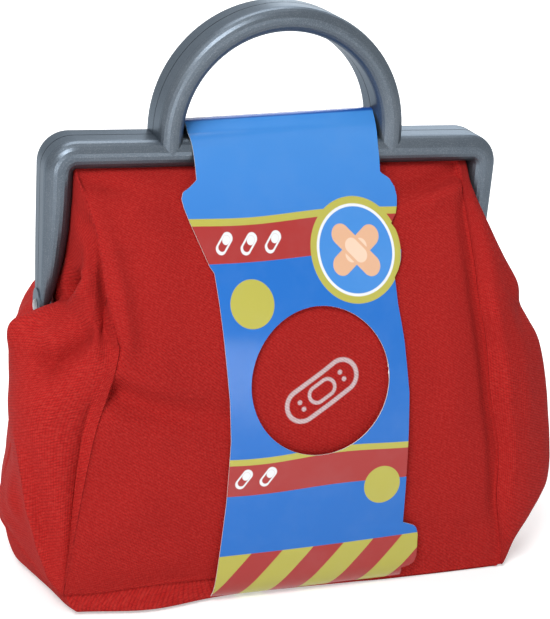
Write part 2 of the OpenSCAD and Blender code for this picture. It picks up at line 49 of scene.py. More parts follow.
def splineRows(table, count):
    # Catmull-Rom curve through the rows of a table: each span mixes its two rows and their neighbours by cubics
    table = np.asarray(table, float)
    last = len(table) - 1
    padded = np.concatenate([[2 * table[0] - table[1]], table, [2 * table[-1] - table[-2]]])
    t = np.linspace(0, last, count)
    i = np.minimum(t.astype(int), last - 1)
    f = (t - i).reshape((-1,) + (1,) * (table.ndim - 1))
    a, b, c, d = (padded[i + k] for k in range(4))
    return 0.5 * (2 * b + (c - a) * f + (2 * a - 5 * b + 4 * c - d) * f**2 + (3 * b - a - 3 * c + d) * f**3)

def netSurface(net, rows, cols):
    # smooth skin over a table of points: splined down the rows first, then across the columns
    down = splineRows(net, rows)
    return splineRows(down.transpose(1, 0, 2), cols).transpose(1, 0, 2)

def toWorld(points):
    # millimetres from the bar's centreline to metres from the floor
    return np.asarray(points, float) * mm + np.array([0, 0, barHeight])

def runLengths(points):
    # distance from the first point of a line to each of its points
    return np.concatenate([[0], np.cumsum(np.linalg.norm(np.diff(points, axis=0), axis=1))])

def gridNormals(grid):
    # cross product of the two directions of the grid at each point
    n = np.cross(np.gradient(grid, axis=1), np.gradient(grid, axis=0))
    return n / np.maximum(np.linalg.norm(n, axis=2, keepdims=True), 1e-12)

sight = np.array([-0.328, -0.877, 0.350])      # from the case towards its front left, a little above

def lineField(points, line, lift, width, facing=False, sharp=False):
    # gaussian of the distance from each point to a broken line, times a lift that runs along it;
    # facing leaves out the part of the distance that runs along the direction of sight, and sharp
    # takes exp(-distance), which comes to a crest, in place of the gaussian
    flat = points.reshape(-1, 3)
    line = np.asarray(line, float)
    if facing:
        flat = flat - (flat @ sight)[:, None] * sight
        line = line - (line @ sight)[:, None] * sight
    best = np.full(len(flat), np.inf)
    value = np.zeros(len(flat))
    for k in range(len(line) - 1):
        d = line[k + 1] - line[k]
        s = np.clip((flat - line[k]) @ d / (d @ d), 0, 1)
        gap = np.linalg.norm(flat - line[k] - s[:, None] * d, axis=1)
        near = gap < best
        best = np.where(near, gap, best)
        value = np.where(near, lift[k] + (lift[k + 1] - lift[k]) * s, value)
    shape = np.exp(-best / width) if sharp else np.exp(-(best / width) ** 2)
    return (value * shape).reshape(points.shape[:2])

# small creases over every cloth, in millimetres: waves of these lengths, each bent by a slower wave
crumpleShape = {"amount": 0.3, "seed": 1, "waves": 7, "lengths": (16, 46), "slow": 30, "bend": 0.8, "phase": 6}

def crumple(grid):
    # a sum of waves in seeded directions, each bent into a crest by 1 - 2 |sin|
    s = crumpleShape
    shortest, longest = s["lengths"]
    rng = np.random.default_rng(s["seed"])
    total = np.zeros(grid.shape[:2])
    for k in range(s["waves"]):
        way = rng.normal(size=3)
        way /= np.linalg.norm(way)
        length = rng.uniform(shortest, longest)
        bend = np.sin(grid @ rng.normal(size=3) / s["slow"] + rng.uniform(0, s["phase"])) * s["bend"]
        wave = np.sin(np.pi * (grid @ way) / length + bend + rng.uniform(0, s["phase"]))
        total += (1 - 2 * np.abs(wave)) * length / longest
    return total * s["amount"] / math.sqrt(s["waves"])

def edgeMask(shape):
    # 0 on the edges of a grid and 1 inside, so that folds leave the seams where they are
    def ramp(n, ends):
        # up over the first share of the way, down over the last
        t = np.linspace(0, 1, n)
        return np.clip(t / ends[0], 0, 1) * np.clip((1 - t) / ends[1], 0, 1)
    return ramp(shape["rows"], shape["down"])[:, None] * ramp(shape["cols"], shape["across"])[None, :]

def addFolds(grid, folds, mask, side):
    # moves the grid along its normals by the sum of its folds, each a ridge (plus) or a valley (minus)
    lift = crumple(grid)
    for fold in folds:
        lift = lift + lineField(grid, **fold)
    return grid + side * (lift * mask)[..., None] * gridNormals(grid)

def meshFromGrid(name, grid, flip=False, closedAcross=False, flatMap=None):
    # quads between neighbouring points of a grid, with the cloth's own lengths in metres as its UV map,
    # or the map that is given
    rows, cols = grid.shape[:2]
    ids = np.arange(rows * cols).reshape(rows, cols)
    right = np.roll(ids, -1, axis=1) if closedAcross else ids[:, 1:]
    left = ids if closedAcross else ids[:, :-1]
    quads = np.stack([left[:-1], left[1:], right[1:], right[:-1]], -1).reshape(-1, 4)
    if flip:
        quads = quads[:, ::-1]
    mesh = bpy.data.meshes.new(name)
    mesh.from_pydata(grid.reshape(-1, 3).tolist(), [], quads.tolist())
    if flatMap is None:
        stepU = np.linalg.norm(np.diff(grid, axis=1), axis=2).mean(0)
        stepV = np.linalg.norm(np.diff(grid, axis=0), axis=2).mean(1)
        flatMap = np.stack(np.meshgrid(*(np.concatenate([[0], np.cumsum(step)]) for step in (stepU, stepV))), -1)
    layer = mesh.uv_layers.new(name="cloth")
    layer.data.foreach_set("uv", flatMap.reshape(-1, 2)[quads.ravel()].ravel())
    mesh.polygons.foreach_set("use_smooth", np.ones(len(quads), bool))
    # the open border stays a sharp edge, so that a rim doesn't darken the seam
    ends = np.empty(2 * len(mesh.edges), int)
    mesh.edges.foreach_get("vertices", ends)
    r, c = np.divmod(ends.reshape(-1, 2), cols)
    border = (r == 0).all(1) | (r == rows - 1).all(1)
    if not closedAcross:
        border |= (c == 0).all(1) | (c == cols - 1).all(1)
    mesh.attributes.new("sharp_edge", "BOOLEAN", "EDGE").data.foreach_set("value", border)
    obj = bpy.data.objects.new(name, mesh)
    bpy.context.scene.collection.objects.link(obj)
    return obj

def addThickness(obj, thickness):
    # gives a surface its thickness inwards
    m = obj.modifiers.new("thickness", "SOLIDIFY")
    m.thickness = thickness
    m.offset = -1
    return m

def followHalf(piece, node):
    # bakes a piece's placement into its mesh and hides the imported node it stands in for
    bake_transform(piece)
    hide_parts(node)

# shader tools

def newMaterial(name):
    # a material with its node tree and its shader
    m = bpy.data.materials.new(name)
    m.use_nodes = True
    tree = m.node_tree
    return m, tree, tree.nodes["Principled BSDF"]

def setInputs(node, **values):
    # constants straight on a node's sockets, with _ for the blanks in their names
    for key, value in values.items():
        node.inputs[key.replace("_", " ")].default_value = value
    return node

def mathNode(tree, kind, a, b=None, c=None):
    # one step of arithmetic on links or plain numbers
    n = tree.nodes.new("ShaderNodeMath")
    n.operation = kind
    for i, v in enumerate((a, b, c)):
        if isinstance(v, (int, float)):
            n.inputs[i].default_value = v
        elif v is not None:
            tree.links.new(v, n.inputs[i])
    return n.outputs[0]

def mixColour(tree, share, a, b):
    # a where the share is 0, b where it is 1
    n = tree.nodes.new("ShaderNodeMix")
    n.data_type = "RGBA"
    for socket, v in ((n.inputs["Factor"], share), (n.inputs["A"], a), (n.inputs["B"], b)):
        if isinstance(v, bpy.types.NodeSocket):
            tree.links.new(v, socket)
        else:
            socket.default_value = v if isinstance(v, (int, float)) else (*v, 1)
    return n.outputs["Result"]

def rampBetween(tree, value, low, high, toLow=0.0, toHigh=1.0):
    # one value below low, another above high, straight between them
    n = tree.nodes.new("ShaderNodeMapRange")
    setInputs(n, From_Min=low, From_Max=high, To_Min=toLow, To_Max=toHigh)
    tree.links.new(value, n.inputs["Value"])
    return n.outputs["Result"]

def tint(tree, base, mask, span, share, colour):
    # mixes in a colour where a mask rises over its span, by a share at most
    return mixColour(tree, mathNode(tree, "MULTIPLY", rampBetween(tree, mask, *span), share), base, colour)

def addBump(tree, bsdf, height, strength, distance):
    # turns the shader's normal by the slope of a height, whose full range is the distance in metres
    bump = setInputs(tree.nodes.new("ShaderNodeBump"), Strength=strength, Distance=distance)
    tree.links.new(height, bump.inputs["Height"])
    tree.links.new(bump.outputs["Normal"], bsdf.inputs["Normal"])

def addNoise(tree, vector, scale, **settings):
    # fine or broad noise over a vector, at a fixed or a linked scale
    n = setInputs(tree.nodes.new("ShaderNodeTexNoise"), **settings)
    tree.links.new(vector, n.inputs["Vector"])
    if isinstance(scale, bpy.types.NodeSocket):
        tree.links.new(scale, n.inputs["Scale"])
    else:
        n.inputs["Scale"].default_value = scale
    return n.outputs["Fac"]

def newGroup(name, inputs, outputs):
    # an empty node group with its named inputs and outputs; its own ends come back with it
    g = bpy.data.node_groups.new(name, "ShaderNodeTree")
    for label, kind, value in inputs:
        s = g.interface.new_socket(name=label, in_out="INPUT", socket_type="NodeSocket" + kind)
        if value is not None:
            s.default_value = value
    for label in outputs:
        g.interface.new_socket(name=label, in_out="OUTPUT", socket_type="NodeSocketFloat")
    return g, g.nodes.new("NodeGroupInput").outputs, g.nodes.new("NodeGroupOutput").inputs

def placeGroup(tree, group, **values):
    # a group in a material, with links or plain numbers on its inputs
    n = tree.nodes.new("ShaderNodeGroup")
    n.node_tree = group
    for key, value in values.items():
        if isinstance(value, bpy.types.NodeSocket):
            tree.links.new(value, n.inputs[key])
        else:
            n.inputs[key].default_value = value
    return n.outputs

weaveShape = {"wobble": 120.0, "toneScale": 900.0, "slant": 1.55, "floats": 3, "overShare": 0.3, "twillShare": 0.6,
    "gapPower": 0.35, "twillPower": 0.42}

def makeWeaveGroup():
    # two crossed sets of threads, each the |sin| of its coordinate, and the slanting floats of a twill:
    # a height, a mask of the gaps between threads, and a tone that changes from thread to thread
    s = weaveShape
    g, gin, gout = newGroup("weave",
        [("Vector", "Vector", None), ("Thread", "Float", 0.0006), ("Slub", "Float", 0.3)],
        ["Height", "Gap", "Tone"])
    wobble = addNoise(g, gin["Vector"], s["wobble"], Detail=2.0)
    sep = g.nodes.new("ShaderNodeSeparateXYZ")
    g.links.new(gin["Vector"], sep.inputs[0])
    shift = mathNode(g, "MULTIPLY", mathNode(g, "SUBTRACT", wobble, 0.5),
        mathNode(g, "MULTIPLY", gin["Thread"], gin["Slub"]))
    u, v = (mathNode(g, "DIVIDE", mathNode(g, "ADD", sep.outputs[axis], shift), gin["Thread"]) for axis in "XY")
    waveU, waveV = (mathNode(g, "SINE", mathNode(g, "MULTIPLY", k, math.pi)) for k in (u, v))
    # over and under: the product of the two waves says which thread lies on top
    over = mathNode(g, "MULTIPLY", waveU, waveV)
    cross = mathNode(g, "ABSOLUTE", over)
    # the floats of a twill line up on a slant
    slant = mathNode(g, "SUBTRACT", u, mathNode(g, "MULTIPLY", v, s["slant"]))
    twill = mathNode(g, "ABSOLUTE", mathNode(g, "SINE", mathNode(g, "MULTIPLY", slant, math.pi / s["floats"])))
    height = mathNode(g, "ADD", mathNode(g, "MULTIPLY_ADD", over, s["overShare"], cross),
        mathNode(g, "MULTIPLY", twill, s["twillShare"]))
    filled = mathNode(g, "MULTIPLY", mathNode(g, "POWER", cross, s["gapPower"]),
        mathNode(g, "POWER", twill, s["twillPower"]))
    g.links.new(height, gout["Height"])
    g.links.new(mathNode(g, "SUBTRACT", 1.0, filled), gout["Gap"])
    g.links.new(addNoise(g, gin["Vector"], s["toneScale"], Detail=1.0), gout["Tone"])
    return g

grainFineness = 30.0       # how many times finer than the blotches the grain is

def makeScuffGroup():
    # soft blotches and fine grain that change a finish a little from place to place
    g, gin, gout = newGroup("scuff", [("Vector", "Vector", None), ("Scale", "Float", 40.0)], ["Blotch", "Grain"])
    g.links.new(addNoise(g, gin["Vector"], gin["Scale"], Detail=3.0, Roughness=0.6), gout["Blotch"])
    fine = mathNode(g, "MULTIPLY", gin["Scale"], grainFineness)
    g.links.new(addNoise(g, gin["Vector"], fine, Detail=2.0), gout["Grain"])
    return g

def makePillGroup():
    # a bar with round ends, or a disc where its half length is nothing, as a soft-edged mask: the distance
    # to the bar's middle line, taken from the radius and divided by the soft edge's width
    g, gin, gout = newGroup("pillShape", [("X", "Float", None), ("Z", "Float", None), ("CentreX", "Float", 0.0),
        ("CentreZ", "Float", 0.0), ("HalfLength", "Float", 0.0), ("Radius", "Float", 5.0), ("Turn", "Float", 0.0),
        ("Soft", "Float", 0.25)], ["Mask"])
    dx = mathNode(g, "SUBTRACT", gin["X"], gin["CentreX"])
    dz = mathNode(g, "SUBTRACT", gin["Z"], gin["CentreZ"])
    c, sn = mathNode(g, "COSINE", gin["Turn"]), mathNode(g, "SINE", gin["Turn"])
    u = mathNode(g, "ADD", mathNode(g, "MULTIPLY", dx, c), mathNode(g, "MULTIPLY", dz, sn))
    v = mathNode(g, "SUBTRACT", mathNode(g, "MULTIPLY", dz, c), mathNode(g, "MULTIPLY", dx, sn))
    past = mathNode(g, "MAXIMUM", mathNode(g, "SUBTRACT", mathNode(g, "ABSOLUTE", u), gin["HalfLength"]), 0.0)
    d = mathNode(g, "SQRT", mathNode(g, "ADD", mathNode(g, "MULTIPLY", past, past), mathNode(g, "MULTIPLY", v, v)))
    mask = mathNode(g, "DIVIDE", mathNode(g, "SUBTRACT", gin["Radius"], d), gin["Soft"])
    clamp = g.nodes.new("ShaderNodeClamp")
    g.links.new(mathNode(g, "ADD", mask, 0.5), clamp.inputs["Value"])
    g.links.new(clamp.outputs[0], gout["Mask"])
    return g

weaveGroup, scuffGroup, pillGroup = makeWeaveGroup(), makeScuffGroup(), makePillGroup()

def placeScuff(tree, scale):
    # object coordinates, and the scuff masks over them
    coord = tree.nodes.new("ShaderNodeTexCoord").outputs["Object"]
    return coord, placeGroup(tree, scuffGroup, Vector=coord, Scale=scale)

def placeHeights(tree, coord):
    # x and height from the bar's centreline in millimetres
    sep = tree.nodes.new("ShaderNodeSeparateXYZ")
    tree.links.new(coord, sep.inputs[0])
    x = mathNode(tree, "MULTIPLY", sep.outputs["X"], 1 / mm)
    return x, mathNode(tree, "MULTIPLY", mathNode(tree, "SUBTRACT", sep.outputs["Z"], barHeight), 1 / mm)

print("shader groups made")

# fabric of the bag

fabricLook = {"red": (0.5, 0.017, 0.014), "deepRed": (0.18, 0.004, 0.005), "gapShare": 0.84, "thread": 0.00064,
    "slub": 0.35, "scuffScale": 35.0, "roughness": 0.85, "specular": 0.15, "bump": (0.7, 0.0003),
    "threads": {"span": (0.42, 0.7), "share": 0.22, "colour": (0.66, 0.065, 0.05)},
    "soil": {"span": (0.5, 0.75), "share": 0.12, "colour": (0.18, 0.004, 0.005)}}

# the printed plaster in millimetres: half length, outer and inner radius of its bar and of its pad, and its holes
clothPrint = {"white": (0.72, 0.62, 0.64), "centre": (10.5, -92.0), "turn": 33, "soft": 0.5,
    "outlines": [(10.5, 7.6, 5.7), (2.6, 4.2, 2.7)],
    "holes": [(10.6, 1.7), (10.6, -1.7), (-10.6, 1.7), (-10.6, -1.7)], "holeRadius": 1.0,
    # how much of the cloth the print covers, and how much less of it in the gaps between threads
    "cover": 0.96, "worn": 0.45}

def addPrint(t, coord, gap, base):
    # white plaster printed on the cloth: two outlined bars and four holes, thin where threads dip
    s = clothPrint
    x, z = placeHeights(t, coord)
    turn = math.radians(s["turn"])
    def pill(along, over, length, radius):
        cx = s["centre"][0] + along * math.cos(turn) - over * math.sin(turn)
        cz = s["centre"][1] + along * math.sin(turn) + over * math.cos(turn)
        return placeGroup(t, pillGroup, X=x, Z=z, CentreX=cx, CentreZ=cz, HalfLength=length, Radius=radius,
            Turn=turn, Soft=s["soft"])["Mask"]
    parts = [mathNode(t, "SUBTRACT", pill(0, 0, length, outer), pill(0, 0, length, inner))
        for length, outer, inner in s["outlines"]]
    parts += [pill(along, over, 0.0, s["holeRadius"]) for along, over in s["holes"]]
    mask = parts[0]
    for part in parts[1:]:
        mask = mathNode(t, "ADD", mask, part)
    cover = mathNode(t, "SUBTRACT", s["cover"], mathNode(t, "MULTIPLY", gap, s["worn"]))
    return mixColour(t, mathNode(t, "MULTIPLY", mask, cover), base, s["white"])

def fabricMaterial(name, printed=False):
    # red twill: darker in the gaps, paler on some threads, with faint soiled blotches
    look = fabricLook
    m, t, bsdf = newMaterial(name)
    uv = t.nodes.new("ShaderNodeUVMap")
    uv.uv_map = "cloth"
    weave = placeGroup(t, weaveGroup, Vector=uv.outputs[0], Thread=look["thread"], Slub=look["slub"])
    coord, scuff = placeScuff(t, look["scuffScale"])
    base = mixColour(t, mathNode(t, "MULTIPLY", weave["Gap"], look["gapShare"]), look["red"], look["deepRed"])
    base = tint(t, base, weave["Tone"], **look["threads"])
    base = tint(t, base, scuff["Blotch"], **look["soil"])
    if printed:
        base = addPrint(t, coord, weave["Gap"], base)
    t.links.new(base, bsdf.inputs["Base Color"])
    setInputs(bsdf, Roughness=look["roughness"], Specular_IOR_Level=look["specular"])
    addBump(t, bsdf, weave["Height"], *look["bump"])
    return m

redFabric = fabricMaterial("redFabric")
printedFabric = fabricMaterial("printedFabric", True)
print("fabric material made")

# the bag's seams and nets, in millimetres from the bar's centreline

seamFrontLeft = [(-87.5, -4, -3), (-87.2, -13, -8), (-84.5, -19, -16), (-81.5, -26.5, -28), (-80, -35.5, -43),
    (-78.5, -41, -56), (-76.3, -44.5, -66), (-75.8, -46, -71), (-79, -48.7, -82), (-85.5, -52, -101),
    (-90.3, -54.3, -126), (-94, -56, -149), (-96.3, -56, -163.5), (-98, -55.5, -173)]
seamFrontRight = [(82, -4, -3), (82.5, -12, -9), (82.5, -18, -16), (83.5, -26, -28), (85, -34.5, -44),
    (85.8, -40, -56), (87.3, -43.5, -66), (88.2, -45.2, -71), (89.8, -48, -82), (92.5, -51, -101),
    (98.5, -53.3, -126), (99.3, -55, -149), (101, -55.5, -163), (103.4, -56, -182.6)]

# columns from the front seam to the clamped edge on the leg and, below the hinge, to the middle of the gusset
gussetLeft = [
    [(-87.4, -3.9, -3), (-87.3, -3.8, -3), (-87.2, -3.7, -3), (-87, -3.6, -3), (-86.8, -3.5, -3), (-86.6, -3.3, -3),
        (-86.3, -3.05, -3)],
    [(-87.3, -11.5, -8), (-87.4, -10, -8), (-87.5, -8.5, -8), (-87.5, -7, -8), (-87.5, -5.5, -8), (-87.2, -4.2, -8),
        (-86.3, -3.05, -8)],
    [(-85.6, -17.5, -16), (-86.6, -15.5, -16), (-87.4, -13.3, -16), (-87.7, -11, -16), (-87.7, -8, -16),
        (-87.3, -5, -16), (-86.4, -3.05, -16)],
    [(-82.8, -24.5, -28), (-84.4, -21.5, -28), (-86, -18, -28), (-87.6, -14.2, -28), (-88.3, -10, -28),
        (-88, -6, -28), (-87, -3.05, -28)],
    [(-81.8, -34, -43.5), (-84.6, -32.4, -43.8), (-86.8, -29.4, -44.4), (-86, -23.5, -45.6), (-87.4, -15, -45),
        (-89.3, -7.5, -44), (-88.5, -3.05, -44)],
    [(-81.5, -40.5, -55), (-86, -38, -54), (-88.6, -33, -53.4), (-89.4, -27, -54), (-89, -19, -56),
        (-92, -10.5, -56), (-92, -3.5, -56)],
    [(-83.5, -44, -63), (-88.5, -41.3, -62.6), (-92.4, -36, -62), (-94.8, -28, -62), (-95.5, -20, -61.8),
        (-95, -12.5, -63), (-92.3, -2, -66)],
    [(-85, -46, -70), (-92, -43.5, -70), (-100, -38, -69.5), (-107.5, -29.5, -69.2), (-113.5, -18, -68.4),
        (-101, -11, -69.8), (-92.3, 0, -74)],
    [(-88.5, -47.5, -81), (-98, -44.5, -80), (-106, -39.5, -79.5), (-112.5, -31, -79.5), (-115, -19, -80),
        (-110, -7, -81.5), (-104, 0, -82)],
    [(-97, -51.5, -100), (-108, -47.5, -99), (-114, -39.5, -99), (-115.3, -28, -99), (-113, -15, -99),
        (-111, -6, -100), (-109.5, 0, -100)],
    [(-99, -53, -125), (-107.5, -49, -124), (-113.5, -42, -123), (-115.3, -31, -122), (-112.5, -17, -121),
        (-110.3, -6, -120), (-108.8, 0, -120)],
    [(-99.5, -54, -148), (-105.5, -49.5, -146.5), (-112, -42.5, -144), (-118, -32, -141), (-116, -18, -138),
        (-112.5, -6, -136), (-110.8, 0, -135)],
    [(-100, -54, -162.5), (-104, -49.5, -161), (-108.4, -42, -158.5), (-113, -32, -155.5), (-117, -20, -152),
        (-116.5, -8, -149), (-113.5, 0, -147)],
    [(-100.4, -51, -172.8), (-102.4, -45, -172.6), (-105, -37.5, -171), (-108.6, -28.5, -168), (-112.4, -19, -164),
        (-115.6, -10, -160), (-115, 0, -157)]]
# the rear half of the left gusset below the clamp, drawn in further than the front half
gussetLeftRear = gussetLeft[:6] + [
    [(-84, -44, -66), (-90, -38, -66), (-93, -30, -66), (-94, -22, -66), (-93.2, -14.5, -66), (-92.6, -8, -65),
        (-92.3, -2, -64)],
    [(-86, -46, -72), (-93, -41, -72), (-97, -33, -72), (-98.5, -24, -73), (-97, -14, -74), (-93.5, -9.5, -73.5),
        (-92.3, 0, -73)],
    [(-89, -47, -83), (-97, -43, -83), (-102, -35, -83), (-104.5, -25, -83), (-105.5, -14, -83), (-105, -6, -82),
        (-104, 0, -82)],
    [(-93, -50, -101), (-99, -46, -101), (-103, -38, -101), (-105.5, -28, -101), (-107.5, -15, -100),
        (-109, -6, -100), (-109.5, 0, -100)],
    [(-95, -52, -126), (-99.5, -47, -126), (-102, -39, -125), (-103.5, -29, -124), (-105.8, -15, -122),
        (-107.8, -6, -120), (-108.8, 0, -120)],
    [(-97, -53, -149), (-100.5, -48.5, -148), (-103.5, -41, -146), (-105.5, -30, -143), (-107.7, -15, -140),
        (-109.8, -6, -137), (-110.8, 0, -135)],
    [(-99.5, -53, -163), (-103, -48.5, -162), (-106, -41, -160), (-108, -30, -156.5), (-109.8, -16, -151),
        (-111, -6, -147), (-113.5, 0, -147)],
    [(-101, -52, -178), (-104, -47, -177), (-107, -40, -174), (-109, -30, -169), (-111.5, -17, -163),
        (-113.5, -7, -159), (-115, 0, -157)]]
gussetRight = [
    [(82.6, -3.9, -3), (83.2, -3.8, -3), (83.8, -3.7, -3), (84.4, -3.6, -3), (85, -3.4, -3), (85.6, -3.2, -3),
        (86.3, -3.05, -3)],
    [(83.5, -11.3, -9), (84.6, -10.3, -8.5), (85.6, -9.2, -8), (86.5, -8, -8), (87.2, -6.5, -8), (87.2, -4.8, -8),
        (86.3, -3.05, -8)],
    [(84, -17.5, -16), (85.6, -16.4, -16), (87, -14.5, -16), (87.7, -12, -16), (87.7, -9, -16), (87.3, -5.5, -16),
        (86.4, -3.05, -16)],
    [(86, -26, -28), (88.7, -25, -28), (91.3, -22.5, -28), (92, -18, -28), (88.2, -12.5, -28), (88, -7, -28),
        (87, -3.05, -28)],
    [(88.5, -34.8, -44), (93.5, -33.5, -44), (98.5, -29.5, -44), (100, -22.5, -44), (94, -15.5, -44), (90, -9, -44),
        (88.5, -3.05, -44)],
    [(91.5, -40.5, -56), (98.5, -38.5, -56), (105.5, -33.5, -56), (107.5, -25.5, -56), (101, -16.5, -56),
        (92.5, -11.5, -56), (92, -3.5, -56)],
    [(93, -44, -65), (100, -42, -65), (106.6, -36.8, -65), (109.6, -28, -65), (105, -18, -65), (93.5, -13.5, -65),
        (92.3, -2, -65)],
    [(95, -46, -72), (103, -44, -72), (110, -38.5, -72), (113.2, -29, -72), (109.5, -18.5, -72), (96, -13, -73),
        (92.4, 0, -73)],
    [(99, -49, -83), (108, -46.8, -83), (115.3, -41, -83), (118.6, -31, -83), (117, -18, -83), (111, -7, -83),
        (104, 0, -82)],
    [(101.5, -51.7, -101), (111, -49.4, -101), (119.2, -43, -101), (122.6, -32, -101), (121, -18, -101),
        (116.5, -6, -101), (112.5, 0, -101)],
    [(105.5, -53.7, -126), (114, -51.8, -126), (122.3, -46.5, -126), (127, -36, -126), (126, -20, -125),
        (120.5, -7, -124), (116, 0, -123)],
    [(107, -54.7, -149), (115.5, -52.8, -149), (124.5, -47.4, -148.5), (129.5, -37, -148), (128, -20, -146),
        (121.5, -7, -144), (117, 0, -143)],
    [(106.5, -54.8, -164), (113, -53, -162.5), (120, -48, -160), (124.5, -38, -158), (124.5, -22, -156),
        (120.5, -8, -154), (116.5, 0, -153)],
    [(105.2, -54.8, -181.4), (108.6, -52.2, -176.5), (113.2, -47, -171), (117.5, -38, -166), (119.5, -23, -162.5),
        (118.5, -9, -160), (116, 0, -158.5)]]

# how far the right seam is drawn into the bag, in millimetres, at each of its points
seamPull = {"depth": [0, 0.6, 1.8, 3, 3.4, 3.4, 3.4, 3.4, 3.4, 3.4, 3.2, 2.8, 1.6, 0], "width": 3.6,
    "way": (-0.3, 0.95, 0)}

def drawSeamIn(grid):
    # moves points towards the inside by the depth at the nearest point of the right seam, fading as a gaussian;
    # the panel and the gusset share the seam, so both move it alike
    depth = lineField(grid, seamFrontRight, seamPull["depth"], seamPull["width"])
    return grid + depth[..., None] * np.array(seamPull["way"])

# rows and columns, and the share at each end of them where the folds fade out
panelShape = {"rows": 200, "cols": 170, "down": (0.02, 0.012), "across": (0.012, 0.012),
    "netColumns": [0, 0.07, 0.2, 0.35, 0.5, 0.65, 0.8, 0.93, 1],
    "swell": [0, 0.5, 1, 0.5, 0, 0.5, 1, 0.8, 0.5, 1, 1.6, 1.6, 1.4, 0.6],
    "hem": {"from": 0.3, "over": 0.42, "dip": 1.2, "dipAt": 0.1, "dipWidth": 0.06}}
gussetShape = {"rows": 220, "cols": 90, "down": (0.02, 0.012), "across": (0.03, 0.04)}

def panelNet(left, right):
    # straight rows between the two seams, swelling forward as the square root of a half wave
    s, hem = panelShape, panelShape["hem"]
    u = np.array(s["netColumns"])
    left, right = np.asarray(left, float), np.asarray(right, float)
    net = left[:, None] + (right - left)[:, None] * u[None, :, None]
    net[..., 1] -= np.array(s["swell"])[:, None] * np.sqrt(np.sin(np.pi * u))[None, :]
    # the lower hem runs level from the left corner, with one small dip, and drops behind the card as a smooth step
    step = np.clip((u - hem["from"]) / hem["over"], 0, 1)
    dip = hem["dip"] * np.exp(-((u - hem["dipAt"]) / hem["dipWidth"]) ** 2)
    net[-1, :, 2] = left[-1, 2] - dip + (right[-1, 2] - left[-1, 2]) * step**2 * (3 - 2 * step)
    return net

def gussetNet(seam, columns):
    # the seam as the first column, then the gusset's own
    return [[edge] + list(row) for edge, row in zip(seam, columns)]

frontFolds = [
    # crest beside the left seam, and the pinched fold that runs to the card from its lower end
    {"line": [(-82, -22, -16), (-78, -30, -28), (-75, -38.5, -43), (-73.5, -43.5, -56), (-72.5, -46, -66),
        (-73, -48, -76)],
        "lift": [0.8, 2.2, 3.2, 3.4, 2.8, 0.4], "width": 4.5},
    {"line": [(-81.8, -50, -82.5), (-78, -51, -85.6), (-73.5, -52, -88.6), (-62.2, -52, -94.2), (-49, -53, -97.6),
        (-32.8, -53, -100.5)],
        "lift": [-3.6, -5.0, -4.6, -4.0, -3.4, -2.4], "width": 6.5, "facing": True},
    {"line": [(-81.8, -50, -82.5), (-78, -51, -85.6), (-74, -52, -88)],
        "lift": [-2.0, -2.4, -0.4], "width": 1.6, "facing": True, "sharp": True},
    {"line": [(-79.4, -49, -77.9), (-68.5, -51.5, -82), (-54.5, -54, -86.3), (-39.8, -54, -86.5)],
        "lift": [2.4, 2.8, 2.0, 0.6], "width": 6, "facing": True},
    {"line": [(-76, -52, -97), (-58, -54, -104), (-40, -55, -106)], "lift": [1.6, 1.8, 0.4], "width": 7},
    # gathers under the right and the left end of the bar
    {"line": [(82, -12, -8.6), (71, -16, -11.3), (60, -20, -13.4), (48, -23, -16)],
        "lift": [-3.0, -3.4, -2.6, -0.6], "width": 4.2, "facing": True},
    {"line": [(80, -18, -15), (66, -22, -19), (50, -26, -22)], "lift": [2.0, 2.2, 0.6], "width": 5},
    {"line": [(-84, -14, -9), (-74, -16, -10), (-60, -19, -13)], "lift": [-1.8, -2.0, -0.4], "width": 4},
    {"line": [(-60, -20, -14), (-58, -34, -40), (-60, -46, -70)], "lift": [0.4, 1.2, 0.3], "width": 10},
    # hollow beside the right seam
    {"line": [(79.5, -24, -26), (81.2, -34, -44), (82.3, -40, -56), (84.4, -45, -71), (86.2, -48, -82),
        (88.8, -51, -101), (94.3, -53.5, -126), (96, -55, -149), (97, -55, -162)],
        "lift": [-1.0, -2.4, -2.8, -3.2, -3.2, -3.0, -2.8, -1.8, -0.4], "width": 3.6},
    {"line": [(66, -30, -34), (68, -44, -66), (74, -54, -110), (80, -57, -150)],
        "lift": [0.6, 1.6, 1.8, 0.6], "width": 10},
    {"line": [(-86, -55, -150), (-70, -57, -140), (-52, -57, -128)], "lift": [0.6, 1.2, 0.2], "width": 9}]
rearFolds = [
    {"line": [(80, -20, -16), (60, -34, -40), (52, -46, -72)], "lift": [1.8, 2.2, 0.4], "width": 7},
    {"line": [(-80, -18, -13), (-62, -24, -22), (-40, -30, -30)], "lift": [-2.6, -2.4, -0.4], "width": 5},
    {"line": [(-80, -46, -76), (-62, -52, -92), (-38, -54, -98)], "lift": [-3.6, -3.2, -0.6], "width": 6},
    {"line": [(84, -48, -84), (70, -53, -104), (48, -55, -112)], "lift": [-3.0, -2.6, -0.4], "width": 6},
    {"line": [(-82, -54, -130), (-60, -57, -146), (-42, -57, -160)], "lift": [1.6, 1.8, 0.4], "width": 9},
    {"line": [(88, -54, -128), (84, -56, -150)], "lift": [1.6, 1.2], "width": 8}]
